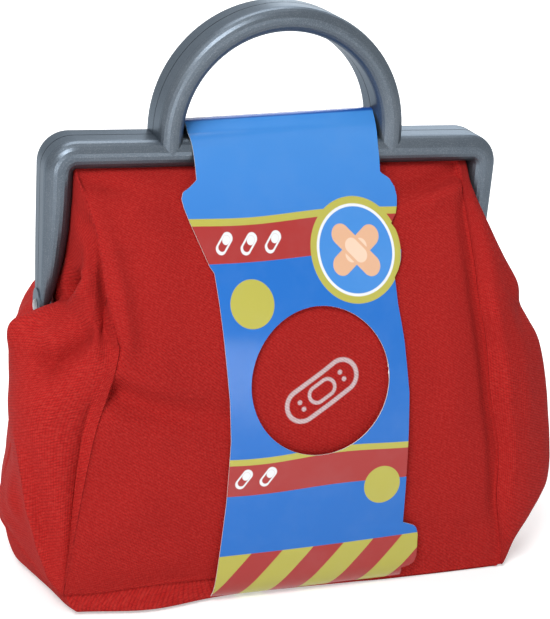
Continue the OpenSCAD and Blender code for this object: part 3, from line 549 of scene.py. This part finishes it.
leftFolds = [
    # crease from the middle of the side down to the front corner, and the hollows beside it
    {"line": [(-115.7, -38, -105.4), (-112.9, -42, -121.5), (-110, -45, -138.4), (-106.6, -48, -153.3),
        (-102, -51, -166.1), (-97.6, -55, -173.3)],
        "lift": [0.6, 2.4, 3.6, 3.8, 2.8, 0.6], "width": 2.0, "facing": True, "sharp": True},
    {"line": [(-115.5, -28, -121), (-114.5, -30, -137), (-112, -33, -151), (-107, -40, -163)],
        "lift": [-1.0, -3.0, -3.4, -1.0], "width": 6, "facing": True},
    {"line": [(-111, -42, -112), (-107.5, -45, -130), (-104.5, -48, -147), (-101, -51, -162)],
        "lift": [-1.0, -2.2, -2.4, -1.0], "width": 4.5, "facing": True},
    {"line": [(-87, -48, -92), (-89.6, -49, -104), (-92.2, -51, -120), (-94, -52, -137), (-95.6, -53, -154),
        (-97.3, -54, -168)],
        "lift": [-2.2, -3.4, -3.8, -3.8, -3.0, -1.0], "width": 3.0, "facing": True, "sharp": True},
    # tuck behind the crest of the seam
    {"line": [(-83.6, -22, -26), (-80.5, -30, -40), (-79.3, -36, -53), (-79, -41, -63), (-80.5, -45, -71)],
        "lift": [-2.0, -5.0, -7.0, -6.5, -2.5], "width": 4.2, "facing": True},
    # pocket behind the leg's tip, its curled lip, and the hollow under the lobe
    {"line": [(-94.6, -14, -60), (-92.4, -18, -56), (-89.5, -21, -51), (-89, -24, -47.5)],
        "lift": [-2.5, -8, -12, -8], "width": 3.8, "facing": True},
    {"line": [(-113, -11, -69.5), (-103, -12, -68.6), (-98.8, -12.5, -66.2), (-95, -17, -61.7), (-91, -23, -56.4),
        (-87.6, -29, -51), (-86.8, -31, -46.2), (-87.8, -30, -43.2), (-89.6, -26, -42.8)],
        "lift": [1.6, 2.2, 2.4, 3.2, 4.0, 4.4, 4.4, 3.6, 1.2], "width": 3.0, "facing": True},
    {"line": [(-111, -33, -75.5), (-105.9, -34, -75), (-101.4, -39, -76.8), (-95, -41, -72), (-89.4, -40, -64.5),
        (-86, -41, -60.5)],
        "lift": [-2.4, -6.5, -8.6, -8.4, -7.4, -3.0], "width": 6.6, "facing": True},
    {"line": [(-112, -38, -92), (-102, -45, -92), (-92, -49, -90)],
        "lift": [1.2, 2.2, 1.0], "width": 7, "facing": True}]
rearLeftFolds = [
    {"line": [(-98, -30, -74), (-103, -34, -100), (-104, -36, -126)], "lift": [-1.6, -2.2, -1.0], "width": 6},
    {"line": [(-92, -46, -82), (-100, -44, -112), (-103, -44, -146)], "lift": [1.2, 1.8, 1.0], "width": 6}]
rightFolds = [
    {"line": [(88, -40, -52), (92, -45, -70), (96, -49, -90), (101, -52, -118), (103.5, -54, -146)],
        "lift": [0.6, 1.2, 1.4, 1.0, 0.3], "width": 3.2},
    {"line": [(98, -34, -48), (104, -36, -66), (109, -40, -86), (113, -44, -112), (116, -48, -140)],
        "lift": [-1.0, -2.2, -2.4, -2.0, -0.6], "width": 6},
    {"line": [(113, -22, -74), (121, -20, -96), (124.5, -18, -120), (124, -14, -142)],
        "lift": [-1.2, -2.8, -3.0, -1.0], "width": 6},
    {"line": [(112, -36, -74), (120, -38, -94), (126, -41, -122), (129, -42, -150)],
        "lift": [0.6, 1.4, 1.8, 1.0], "width": 5}]

grids = {}      # each cloth's grid in millimetres, kept for the bottom panel's edge
cutSizes = {}   # each cloth's widest row, longest column and area as it was cut, in metres

def measureCut(name, grid):
    # lengths along the grid's rows and columns, and the area as half the cross products of each cell's diagonals
    g = grid * mm
    wide = np.linalg.norm(np.diff(g, axis=1), axis=2).sum(1).max()
    long = np.linalg.norm(np.diff(g, axis=0), axis=2).sum(0).max()
    cells = np.cross(g[1:, 1:] - g[:-1, :-1], g[1:, :-1] - g[:-1, 1:])
    cutSizes[name] = (float(wide), float(long), float(np.linalg.norm(cells, axis=2).sum() / 2))

def makeCloth(name, net, shape, folds, side, flip, mirror):
    # a net's smooth skin with its folds and the drawn-in seam; a mirrored cloth lies behind the middle plane
    grid = netSurface(net, shape["rows"], shape["cols"])
    grid = drawSeamIn(addFolds(grid, folds, edgeMask(shape), side))
    if mirror:
        grid = grid * np.array([1, -1, 1])
    grids[name] = grid
    measureCut(name, grid)
    return meshFromGrid(name, toWorld(grid), flip=flip != mirror)

# shares of the upper edge's width and depth, and the height, ring by ring from the edge to the middle; the
# bulge lies near the left corner, and only where the edge is more than bulgeDepth from the middle plane
bottomShape = {"floor": -183.2, "rings": 60, "shareX": [1, 0.988, 0.982, 0.968, 0.945, 0.91, 0.85, 0.6, 0.3, 0.02],
    "shareY": [1, 0.978, 0.985, 0.995, 0.99, 0.96, 0.88, 0.6, 0.3, 0.02],
    "height": [1, 0.9, 0.7, 0.4, 0.13, 0.02, 0, 0, 0, 0], "shift": 3, "bulge": 5.0, "bulgeAt": -66,
    "bulgeWidth": 24, "bulgeDepth": 40, "bulgeFade": 10, "bulgeRise": 0.9, "turnUp": 1.1}

def makeBottom(name):
    # the bag's lower edge, shrunk to its middle ring by ring while it sinks to the floor; just above the floor
    # it bulges forward near the left corner
    s = bottomShape
    loop = np.concatenate([grids["frontPanelCloth"][-1], grids["rightGussetFrontCloth"][-1][1:],
        grids["rightGussetRearCloth"][-1][::-1][1:], grids["rearPanelCloth"][-1][::-1][1:],
        grids["leftGussetRearCloth"][-1][1:], grids["leftGussetFrontCloth"][-1][::-1][1:-1]])
    shareX, shareY, height = splineRows(np.stack([s["shareX"], s["shareY"], s["height"]], 1), s["rings"]).T
    height = np.clip(height, 0, 1)
    grid = loop[None] * np.stack([shareX, shareY, np.ones_like(shareX)], 1)[:, None]
    grid[..., 0] += s["shift"] * (1 - shareX[:, None])
    near = np.exp(-((loop[:, 0] - s["bulgeAt"]) / s["bulgeWidth"]) ** 2)
    near *= np.clip((np.abs(loop[:, 1]) - s["bulgeDepth"]) / s["bulgeFade"], 0, 1)
    grow = (np.clip((1 - height) / s["bulgeRise"], 0, 1) * shareY**2)[:, None]
    grid[..., 1] += s["bulge"] * np.sign(loop[:, 1]) * near * grow
    grid[..., 2] = s["floor"] + (loop[None, :, 2] - s["floor"]) * height[:, None]
    # the map keeps each ring's direction from the middle, at its own distance over the cloth; a millimetre is
    # added to both lengths, so that nothing is divided by 0 at the middle
    step = np.linalg.norm(np.diff(grid, axis=0), axis=2)
    along = np.concatenate([np.cumsum(step[::-1], 0)[::-1], np.zeros((1, len(loop)))])
    flat = grid[..., :2] - grid[-1:, :, :2].mean(1, keepdims=True)
    flat *= ((along + 1) / (np.linalg.norm(flat, axis=2) + 1))[..., None]
    measureCut(name, np.concatenate([grid, grid[:, :1]], 1))
    # cut as the upper edge's width and depth, and a share more for what turns up
    width, depth = np.ptp(loop[:, :2], axis=0) * mm * s["turnUp"]
    cutSizes[name] = (float(width), float(depth), cutSizes[name][2])
    obj = meshFromGrid(name, toWorld(grid), closedAcross=True, flatMap=flat * mm)
    mesh = bmesh.new()
    mesh.from_mesh(obj.data)
    middle = [v for v in mesh.verts if v.index >= (s["rings"] - 1) * len(loop)]
    bmesh.ops.pointmerge(mesh, verts=middle, merge_co=middle[0].co)
    mesh.to_mesh(obj.data)
    mesh.free()
    return obj

clothThickness = 0.0008
frontNet = panelNet(seamFrontLeft, seamFrontRight)
leftNet, leftRearNet = gussetNet(seamFrontLeft, gussetLeft), gussetNet(seamFrontLeft, gussetLeftRear)
rightNet = gussetNet(seamFrontRight, gussetRight)
# name, net, shape, folds, side that ridges rise to, turned faces, half, node, how it is held and by what
cloths = [
    ("frontPanelCloth", frontNet, panelShape, frontFolds, -1, False, "front_half", "front_panel", "hung",
        "front_clamp_strip"),
    ("rearPanelCloth", frontNet, panelShape, rearFolds, -1, False, "rear_half", "rear_panel", "hung",
        "rear_clamp_strip"),
    ("leftGussetFrontCloth", leftNet, gussetShape, leftFolds, 1, False, "front_half", "left_gusset", "gathered",
        "front_frame"),
    ("leftGussetRearCloth", leftRearNet, gussetShape, rearLeftFolds, 1, False, "rear_half", "left_gusset",
        "gathered", "rear_frame"),
    ("rightGussetFrontCloth", rightNet, gussetShape, rightFolds, -1, True, "front_half", "right_gusset", "gathered",
        "front_frame"),
    ("rightGussetRearCloth", rightNet, gussetShape, rightFolds[1:], -1, True, "rear_half", "right_gusset",
        "gathered", "rear_frame")]

for name, net, shape, folds, side, flip, half, node, held, carrier in cloths:
    piece = makeCloth(name, net, shape, folds, side, flip, half == "rear_half")
    addThickness(piece, clothThickness)
    piece.data.materials.append(printedFabric if name == "frontPanelCloth" else redFabric)
    followHalf(piece, node)
bottom = makeBottom("bottomCloth")
addThickness(bottom, clothThickness)
bottom.data.materials.append(redFabric)
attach(bottom, "bag")
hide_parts("bottom_panel")
print("bag made")

# printed card sleeve, x and height from the bar's centreline in millimetres

sleeveShape = {"thickness": 0.0005, "rows": 330, "cols": 104, "fine": 2000,
    # centre and radius of the window, which lies in the first share of the rows; its edge is what is within
    # windowReach of its circle, and at least windowFront, in metres, in front of the middle
    "window": (9.3, -87.5), "windowRadius": 30.7, "windowRows": 0.75, "windowReach": 2, "windowFront": 0.03,
    # the bow between the two sides starts below bowTop and ends at bowFoot, each over its own length
    "bow": 0.9, "bowTop": -20, "bowTopOver": 60, "bowFoot": -183, "bowFootOver": 20,
    # the top fold leans down to the left of leanAt, from leanFrom upwards
    "topLean": 0.05, "leanAt": 42, "leanFrom": 3, "leanOver": 9, "leanPower": 1.3,
    # the rear leaf has no tab below this height
    "tabTop": -153, "tabSide": 50, "tabFlare": 0.1,
    # side line of the front leaf, depth and height, from the top fold down and under the bag
    "path": [(-0.15, 16.4), (-1.2, 16.3), (-2.2, 15.8), (-4.2, 14.2), (-9.2, 9.2), (-13.2, 3), (-17, -3.2),
        (-22.3, -16), (-28.5, -28), (-35.3, -40.5), (-41.6, -54), (-47.5, -70), (-52.4, -90), (-56.2, -111),
        (-58.7, -132), (-60, -152), (-60.3, -168), (-59.6, -176), (-57, -181.3), (-52.5, -183.55), (-44, -183.7),
        (-20, -183.7), (0, -183.7)],
    "left": [(18, -41), (7, -40.3), (-8.5, -39.6), (-11, -42.4), (-13, -45.6), (-15.5, -46.4), (-19, -45.6),
        (-24.4, -43.6), (-40.5, -36.9), (-42.8, -35.2), (-54.7, -33.9), (-76.5, -32), (-93, -30.5), (-110, -29.9),
        (-136, -31.2), (-160, -33.1), (-184, -34.9)],
    "right": [(18, 42.4), (3, 41.6), (-7.1, 41.3), (-9.6, 45.4), (-13, 47.6), (-16.8, 48.4), (-20, 48.1),
        (-23.3, 47.2), (-27, 44.6), (-29.5, 46.6), (-33, 47.7), (-37, 48), (-41, 47.4), (-44.5, 45.9),
        (-47.4, 43.9), (-58.4, 44.7), (-72.6, 47), (-94.5, 49.5), (-112, 49.8), (-153.4, 50), (-154.6, 54),
        (-156, 56.4), (-159.3, 57.6), (-170.6, 58.3), (-173.8, 57.4), (-175.4, 55.4), (-176, 51.9), (-184, 53.2)]}

def outlineAt(points, height):
    # straight lines between the outline's points, by height
    points = np.array(points, float)[::-1]
    return np.interp(height, points[:, 0], points[:, 1])

def makeSleeve(name, mirror=False):
    # rows follow the side line by length; each row is straight between the two edges at its height, and bows
    # forward as a half wave, less where the handle and the floor hold the card
    s = sleeveShape
    fine = splineRows(s["path"], s["fine"])
    length = runLengths(fine)
    at = np.linspace(0, length[-1], s["rows"])
    y, z = (np.interp(at, length, fine[:, k]) for k in (0, 1))
    x0, x1 = outlineAt(s["left"], z), outlineAt(s["right"], z)
    if mirror:
        x1 = np.where(z < s["tabTop"], np.minimum(x1, s["tabSide"] + (s["tabTop"] - z) * s["tabFlare"]), x1)
    u = np.linspace(0, 1, s["cols"])
    x = x0[:, None] + (x1 - x0)[:, None] * u[None]
    held = np.clip((s["bowTop"] - z) / s["bowTopOver"], 0, 1) * np.clip((z - s["bowFoot"]) / s["bowFootOver"], 0, 1)
    bow = s["bow"] * np.sin(np.pi * u)[None] * held[:, None]
    rise = np.clip((z - s["leanFrom"]) / s["leanOver"], 0, 1) ** s["leanPower"]
    lean = s["topLean"] * (x - s["leanAt"]) * rise[:, None]
    grid = np.stack([x, np.repeat(y[:, None], s["cols"], 1) - bow, np.repeat(z[:, None], s["cols"], 1) + lean], -1)
    if mirror:
        grid = grid * np.array([1, -1, 1])
    obj = meshFromGrid(name, toWorld(grid), flip=mirror)
    if not mirror:
        across = np.hypot(grid[..., 0] - s["window"][0], grid[..., 2] - s["window"][1])
        hole = (across < s["windowRadius"]) & (np.arange(s["rows"])[:, None] < s["rows"] * s["windowRows"])
        cutWindow(obj, hole.ravel(), z[::-1], y[::-1])
    m = addThickness(obj, s["thickness"])
    m.material_offset = 1
    m.material_offset_rim = 1
    return obj

def cutWindow(obj, inside, heights, depths):
    # drops the faces with three or more corners in the hole, then pulls its edge onto the circle, along the
    # leaf's own slope
    s = sleeveShape
    mesh = bmesh.new()
    mesh.from_mesh(obj.data)
    gone = [f for f in mesh.faces if sum(bool(inside[v.index]) for v in f.verts) >= 3]
    bmesh.ops.delete(mesh, geom=gone, context="FACES")
    bmesh.ops.delete(mesh, geom=[v for v in mesh.verts if not v.link_faces], context="VERTS")
    (cx, cz), r = s["window"], s["windowRadius"]
    for v in mesh.verts:
        if any(e.is_boundary for e in v.link_edges):
            dx, dz = v.co.x / mm - cx, (v.co.z - barHeight) / mm - cz
            d = math.hypot(dx, dz)
            if d < r + s["windowReach"] and v.co.y < -s["windowFront"]:
                newZ = cz + dz * r / d
                v.co.y += float(np.interp(newZ, heights, depths) - np.interp(cz + dz, heights, depths)) * mm
                v.co.x, v.co.z = (cx + dx * r / d) * mm, newZ * mm + barHeight
    for e in mesh.edges:
        if e.is_boundary:
            e.smooth = False
    mesh.to_mesh(obj.data)
    mesh.free()

# the fold blue is painted shade over the top fold
# the pale blue is the printed rings' colour and also the painted sheen at the top of the ground
printLook = {"blue": (0.006, 0.140, 0.52), "paleBlue": (0.05, 0.24, 0.64), "foldShadeBlue": (0.003, 0.05, 0.30),
    "yellow": (0.45, 0.42, 0.07), "red": (0.36, 0.024, 0.022), "white": (0.78, 0.80, 0.82),
    "plaster": (0.72, 0.42, 0.26), "pad": (0.82, 0.60, 0.45), "scuffScale": 60.0,
    "roughness": (0.31, 0.39), "specular": 0.2, "coat": 0.45, "coatRoughness": 0.2, "bump": (0.12, 0.0002),
    "worn": {"span": (0.45, 0.8), "share": 0.03, "colour": (0.5, 0.6, 0.7)}}

# the print, in millimetres
cardPrint = {"soft": 0.3, "sheenFrom": -70.0, "sheenTo": 12.0,
    # bands: height of the upper edge in the middle, slope, thickness of the yellow line and of the red band, wave
    "bands": [(-21.8, 0.034, 2.7, 13.8, 0.6), (-116.2, 0.024, 2.7, 13.6, 0.9)], "wave": 0.085, "waveBelow": -0.4,
    # slanting stripes along the bottom
    "stripeTop": -160.2, "stripeRise": 0.02, "stripeEdge": 0.2, "stripeWidth": 13.65, "stripeLean": 0.8,
    "stripeStart": 19.0, "stripeSoft": 0.012,
    # painted shade along the top fold, darker blue over it
    "fold": {"span": (15.4, 15.9), "share": 0.85},
    # ringed field, its rings from the outside in, and the crossed plasters: half length and radius of bar and pad
    "field": (27.4, -36.5), "rings": [(20.3, "yellow"), (17.5, "white"), (16.4, "paleBlue")], "turns": (38, -44),
    "plaster": (8.6, 4.1), "pad": (2.6, 2.9),
    "discs": [(-20.0, -55.0, 9.4), (38.5, -134.2, 8.4)],
    # small pills: half length and radius of the rim, of the red core and of its white half, and how far that is out
    "pills": [(-30.0, -32.2), (-19.5, -32.6), (-9.0, -32.2), (-24.0, -126.2), (-13.5, -125.8)], "pillTurn": 52,
    "pillRim": (2.5, 2.2), "pillCore": (1.9, 1.5), "pillHalf": (0.35, 1.5), "pillHalfAt": 1.55}

def printedCard(name, front=True):
    look, s = printLook, cardPrint
    m, t, bsdf = newMaterial(name)
    coord, scuff = placeScuff(t, look["scuffScale"])
    x, z = placeHeights(t, coord)
    def pill(base, colour, cx, cz, size, turn=0.0):
        # prints a bar with round ends, or a disc
        mask = placeGroup(t, pillGroup, X=x, Z=z, CentreX=cx, CentreZ=cz, HalfLength=size[0], Radius=size[1],
            Turn=math.radians(turn), Soft=s["soft"])["Mask"]
        return mixColour(t, mask, base, look[colour])
    def below(base, height, colour):
        # prints everything below a height, which may run over the card
        edge = rampBetween(t, mathNode(t, "SUBTRACT", height, z), -s["soft"] / 2, s["soft"] / 2)
        return mixColour(t, edge, base, colour)
    # ground: blue, paler towards the top as a painted sheen
    base = mixColour(t, rampBetween(t, z, s["sheenFrom"], s["sheenTo"]), look["blue"], look["paleBlue"])
    for top, slope, line, band, wave in s["bands"]:
        # upper edge of the yellow line: a straight slope and one shallow wave
        swing = mathNode(t, "MULTIPLY", mathNode(t, "SINE", mathNode(t, "MULTIPLY", x, s["wave"])), wave)
        edge = mathNode(t, "ADD", mathNode(t, "MULTIPLY_ADD", x, slope, top), swing)
        end = mathNode(t, "SUBTRACT", mathNode(t, "MULTIPLY_ADD", swing, s["waveBelow"], edge), line + band)
        base = below(base, edge, look["yellow"])
        base = below(base, mathNode(t, "SUBTRACT", edge, line), look["red"])
        base = below(base, end, look["blue"])
    # stripes: the fraction of a slanting coordinate over two widths, kept above 0 by ten widths
    width = s["stripeWidth"]
    lean = mathNode(t, "MULTIPLY_ADD", mathNode(t, "SUBTRACT", z, s["stripeTop"]), -s["stripeLean"], x)
    phase = mathNode(t, "DIVIDE", mathNode(t, "ADD", lean, s["stripeStart"] + 10 * width), 2 * width)
    half = mathNode(t, "SUBTRACT", mathNode(t, "FRACT", phase), 0.5)
    stripes = mixColour(t, rampBetween(t, half, -s["stripeSoft"], s["stripeSoft"]), look["red"], look["yellow"])
    base = below(base, mathNode(t, "MULTIPLY_ADD", x, s["stripeRise"], s["stripeTop"] + s["stripeEdge"]), stripes)
    # painted shade: the blue darkens over the top fold, along its lean
    topLean, leanAt = sleeveShape["topLean"], sleeveShape["leanAt"]
    fold = mathNode(t, "MULTIPLY_ADD", x, -topLean, mathNode(t, "ADD", z, leanAt * topLean))
    base = tint(t, base, fold, colour=look["foldShadeBlue"], **s["fold"])
    if front:
        for radius, colour in s["rings"]:
            base = pill(base, colour, *s["field"], (0.0, radius))
        for turn in s["turns"]:
            base = pill(base, "plaster", *s["field"], s["plaster"], turn)
            base = pill(base, "pad", *s["field"], s["pad"], turn)
        for cx, cz, radius in s["discs"]:
            base = pill(base, "yellow", cx, cz, (0.0, radius))
        turn = s["pillTurn"]
        outX, outZ = (s["pillHalfAt"] * part(math.radians(turn)) for part in (math.cos, math.sin))
        for cx, cz in s["pills"]:
            base = pill(base, "white", cx, cz, s["pillRim"], turn)
            base = pill(base, "red", cx, cz, s["pillCore"], turn)
            base = pill(base, "white", cx + outX, cz + outZ, s["pillHalf"], turn)
    base = tint(t, base, scuff["Blotch"], **look["worn"])
    t.links.new(base, bsdf.inputs["Base Color"])
    t.links.new(rampBetween(t, scuff["Blotch"], 0.0, 1.0, *look["roughness"]), bsdf.inputs["Roughness"])
    setInputs(bsdf, Specular_IOR_Level=look["specular"], Coat_Weight=look["coat"],
        Coat_Roughness=look["coatRoughness"])
    addBump(t, bsdf, scuff["Blotch"], *look["bump"])
    return m

# plain finishes: two tones mixed by a scuff mask, a roughness or its range, and a bump's strength and depth
plainLooks = {
    "whiteBoard": {"scale": 90.0, "mask": "Grain", "tones": [(0.62, 0.60, 0.56), (0.80, 0.79, 0.76)],
        "roughness": 0.85, "metallic": 0.0, "bump": (0.3, 0.0001)},
    "greyPlastic": {"scale": 50.0, "mask": "Blotch", "tones": [(0.06, 0.068, 0.08), (0.10, 0.112, 0.13)],
        "roughness": 0.55, "metallic": 0.0, "bump": (0.3, 0.0001)},
    "zincSteel": {"scale": 240.0, "mask": "Blotch", "tones": [(0.372, 0.366, 0.348), (0.62, 0.61, 0.58)],
        "roughness": (0.2, 0.5), "metallic": 1.0, "bump": (0.2, 0.00005)},
    "rivetSteel": {"scale": 240.0, "mask": "Blotch", "tones": [(0.18, 0.186, 0.198), (0.3, 0.31, 0.33)],
        "roughness": (0.2, 0.5), "metallic": 1.0, "bump": (0.2, 0.00005)}}

def plainMaterial(name):
    # unprinted board, matt strip plastic or plated steel, each a little uneven
    look = plainLooks[name]
    m, t, bsdf = newMaterial(name)
    coord, scuff = placeScuff(t, look["scale"])
    t.links.new(mixColour(t, scuff[look["mask"]], *look["tones"]), bsdf.inputs["Base Color"])
    setInputs(bsdf, Metallic=look["metallic"])
    if isinstance(look["roughness"], tuple):
        t.links.new(rampBetween(t, scuff["Blotch"], 0.0, 1.0, *look["roughness"]), bsdf.inputs["Roughness"])
    else:
        setInputs(bsdf, Roughness=look["roughness"])
    addBump(t, bsdf, scuff["Grain"], *look["bump"])
    return m

boardBack = plainMaterial("whiteBoard")
for name, half, paint in (("sleeveFrontLeaf", "front_half", printedCard("printedCardFront")),
        ("sleeveRearLeaf", "rear_half", printedCard("printedCardRear", False))):
    leaf = makeSleeve(name, half == "rear_half")
    leaf.data.materials.append(paint)
    leaf.data.materials.append(boardBack)
    followHalf(leaf, "card_sleeve")
print("sleeve made")

# moulded frame, strips, screws and rivets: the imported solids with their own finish

frameLook = {"paint": (0.085, 0.105, 0.128), "edgeTint": (0.45, 0.5, 0.55), "metallic": 0.8,
    "roughness": (0.29, 0.44),
    "flakeScale": 2600.0, "flakes": {"span": (0.5, 0.72), "share": 0.4, "colour": (0.22, 0.245, 0.275)},
    "scuffScale": 28.0, "flow": {"span": (0.4, 0.75), "share": 0.16, "colour": (0.22, 0.245, 0.275)},
    "bump": (0.12, 0.0001)}

def mouldedPlastic():
    # dark silver paint-like plastic: fine flakes, faint flow marks, a little dust in the gloss
    look = frameLook
    m, t, bsdf = newMaterial("silverPlastic")
    coord, scuff = placeScuff(t, look["scuffScale"])
    base = tint(t, look["paint"], addNoise(t, coord, look["flakeScale"], Detail=1.0), **look["flakes"])
    t.links.new(tint(t, base, scuff["Blotch"], **look["flow"]), bsdf.inputs["Base Color"])
    setInputs(bsdf, Metallic=look["metallic"], Specular_Tint=(*look["edgeTint"], 1))
    t.links.new(rampBetween(t, scuff["Blotch"], 0.0, 1.0, *look["roughness"]), bsdf.inputs["Roughness"])
    addBump(t, bsdf, scuff["Grain"], *look["bump"])
    return m

for paint, nodes in ((mouldedPlastic(), ("front_frame", "rear_frame")),
        (plainMaterial("greyPlastic"), ("front_clamp_strip", "rear_clamp_strip")),
        (plainMaterial("zincSteel"), ("front_clamp_screws", "rear_clamp_screws")),
        (plainMaterial("rivetSteel"), ("hinge_rivet_left", "hinge_rivet_right"))):
    for node in nodes:
        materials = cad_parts[node].data.materials
        materials.clear()
        materials.append(paint)
print("frame finished")

# floor, light and camera

# place and target in metres, size in metres, power in watts
lamps = {"keyLamp": {"place": (-0.8, -0.88, 1.6), "target": (0, 0, 0.1), "size": (0.8, 0.8), "power": 27},
    "sheenLamp": {"place": (0.35, -1.59, 0.2), "target": (0, 0, 0.1), "size": (0.1, 0.46), "power": 2.0},
    "lowLamp": {"place": (-1.05, -1.35, 0.22), "target": (0, 0, 0.12), "size": (0.35, 0.4), "power": 5.5},
    "fillLamp": {"place": (-0.57, -1.5, 0.55), "target": (0, 0, 0.16), "size": (0.45, 0.45), "power": 2},
    "backLamp": {"place": (0.9, 1.6, 0.9), "target": (0, 0, 0.1), "size": (0.9, 0.9), "power": 9},
    "topLamp": {"place": (0, 0.7, 1.5), "target": (0, 0, 0.1), "size": (1.1, 0.9), "power": 13}}
# glow is what the floor adds to the camera near the case, farGlow what it adds more at a distance
stageLook = {"world": 0.22, "floorHalf": 4, "floorPaint": 0.8, "roughness": 0.8, "specular": 0.1, "glow": 0.42,
    "farGlow": 0.5, "near": 0.16, "far": 0.9}

def addLamp(name, s):
    # a soft rectangle that faces its target
    lamp = bpy.data.lights.new(name, "AREA")
    lamp.shape = "RECTANGLE"
    lamp.size, lamp.size_y = s["size"]
    lamp.energy = s["power"]
    obj = bpy.data.objects.new(name, lamp)
    obj.location = s["place"]
    obj.rotation_euler = (Vector(s["target"]) - Vector(s["place"])).to_track_quat("-Z", "Y").to_euler()
    bpy.context.scene.collection.objects.link(obj)

def seenDirectly(tree, kinds):
    # 1 for rays of the given kinds, 0 for the light on the object
    path = tree.nodes.new("ShaderNodeLightPath").outputs
    seen = path[f"Is {kinds[0]} Ray"]
    for kind in kinds[1:]:
        seen = mathNode(tree, "MAXIMUM", seen, path[f"Is {kind} Ray"])
    return seen

def studioWorld():
    # plain white to the camera and in reflections, a softer level for the light on the object
    world = bpy.data.worlds.new("studio")
    bpy.context.scene.world = world
    world.use_nodes = True
    t, level = world.node_tree, stageLook["world"]
    back = setInputs(t.nodes["Background"], Color=(1, 1, 1, 1))
    seen = seenDirectly(t, ("Camera", "Glossy", "Transmission"))
    t.links.new(mathNode(t, "MULTIPLY_ADD", seen, 1.0 - level, level), back.inputs["Strength"])

def studioFloor():
    # pale floor that keeps the shadow; to the camera it glows towards white away from the case
    s = stageLook
    half, grey = s["floorHalf"], s["floorPaint"]
    mesh = bpy.data.meshes.new("floor")
    mesh.from_pydata([(-half, -half, 0), (half, -half, 0), (half, half, 0), (-half, half, 0)], [], [(0, 1, 2, 3)])
    obj = bpy.data.objects.new("floor", mesh)
    bpy.context.scene.collection.objects.link(obj)
    m, t, bsdf = newMaterial("floorPaint")
    setInputs(bsdf, Base_Color=(grey, grey, grey, 1), Roughness=s["roughness"], Specular_IOR_Level=s["specular"],
        Emission_Color=(1, 1, 1, 1))
    far = t.nodes.new("ShaderNodeVectorMath")
    far.operation = "LENGTH"
    t.links.new(t.nodes.new("ShaderNodeTexCoord").outputs["Object"], far.inputs[0])
    away = rampBetween(t, far.outputs["Value"], s["near"], s["far"])
    glow = mathNode(t, "MULTIPLY_ADD", away, s["farGlow"], s["glow"])
    seen = seenDirectly(t, ("Camera", "Glossy"))
    t.links.new(mathNode(t, "MULTIPLY", seen, glow), bsdf.inputs["Emission Strength"])
    mesh.materials.append(m)

# turn, height and roll in degrees, distance in metres, focal length and picture height in pixels
cameraSettings = {"turn": 20.533, "height": 20.512, "roll": 4.379, "distance": 0.68729, "focal": 1556.68,
    "pictureHeight": 619, "sensor": 36, "clipStart": 0.01, "target": (0.00575, 0, 0.1094)}

def placeCamera(s):
    # looks at the target from the given turn and height, at the given distance, then rolls about its own axis
    turn, height, roll = (math.radians(s[k]) for k in ("turn", "height", "roll"))
    back = Vector((-math.sin(turn) * math.cos(height), -math.cos(turn) * math.cos(height), math.sin(height)))
    right = Vector((math.cos(turn), -math.sin(turn), 0))
    up = back.cross(right)
    # the picture turns clockwise by the roll, so the camera turns the other way
    r = right * math.cos(roll) + up * math.sin(roll)
    u = up * math.cos(roll) - right * math.sin(roll)
    data = bpy.data.cameras.new("camera")
    data.sensor_fit = "AUTO"
    data.sensor_width = s["sensor"]
    data.lens = s["focal"] * s["sensor"] / s["pictureHeight"]
    data.clip_start = s["clipStart"]
    obj = bpy.data.objects.new("camera", data)
    place = Vector(s["target"]) + back * s["distance"]
    obj.matrix_world = Matrix([(*(axis[k] for axis in (r, u, back, place)),) for k in range(3)] + [(0, 0, 0, 1)])
    bpy.context.scene.collection.objects.link(obj)
    bpy.context.scene.camera = obj

for name, settings in lamps.items():
    addLamp(name, settings)
studioWorld()
studioFloor()
placeCamera(cameraSettings)
bpy.context.scene.view_settings.view_transform = "Standard"
print("stage set")
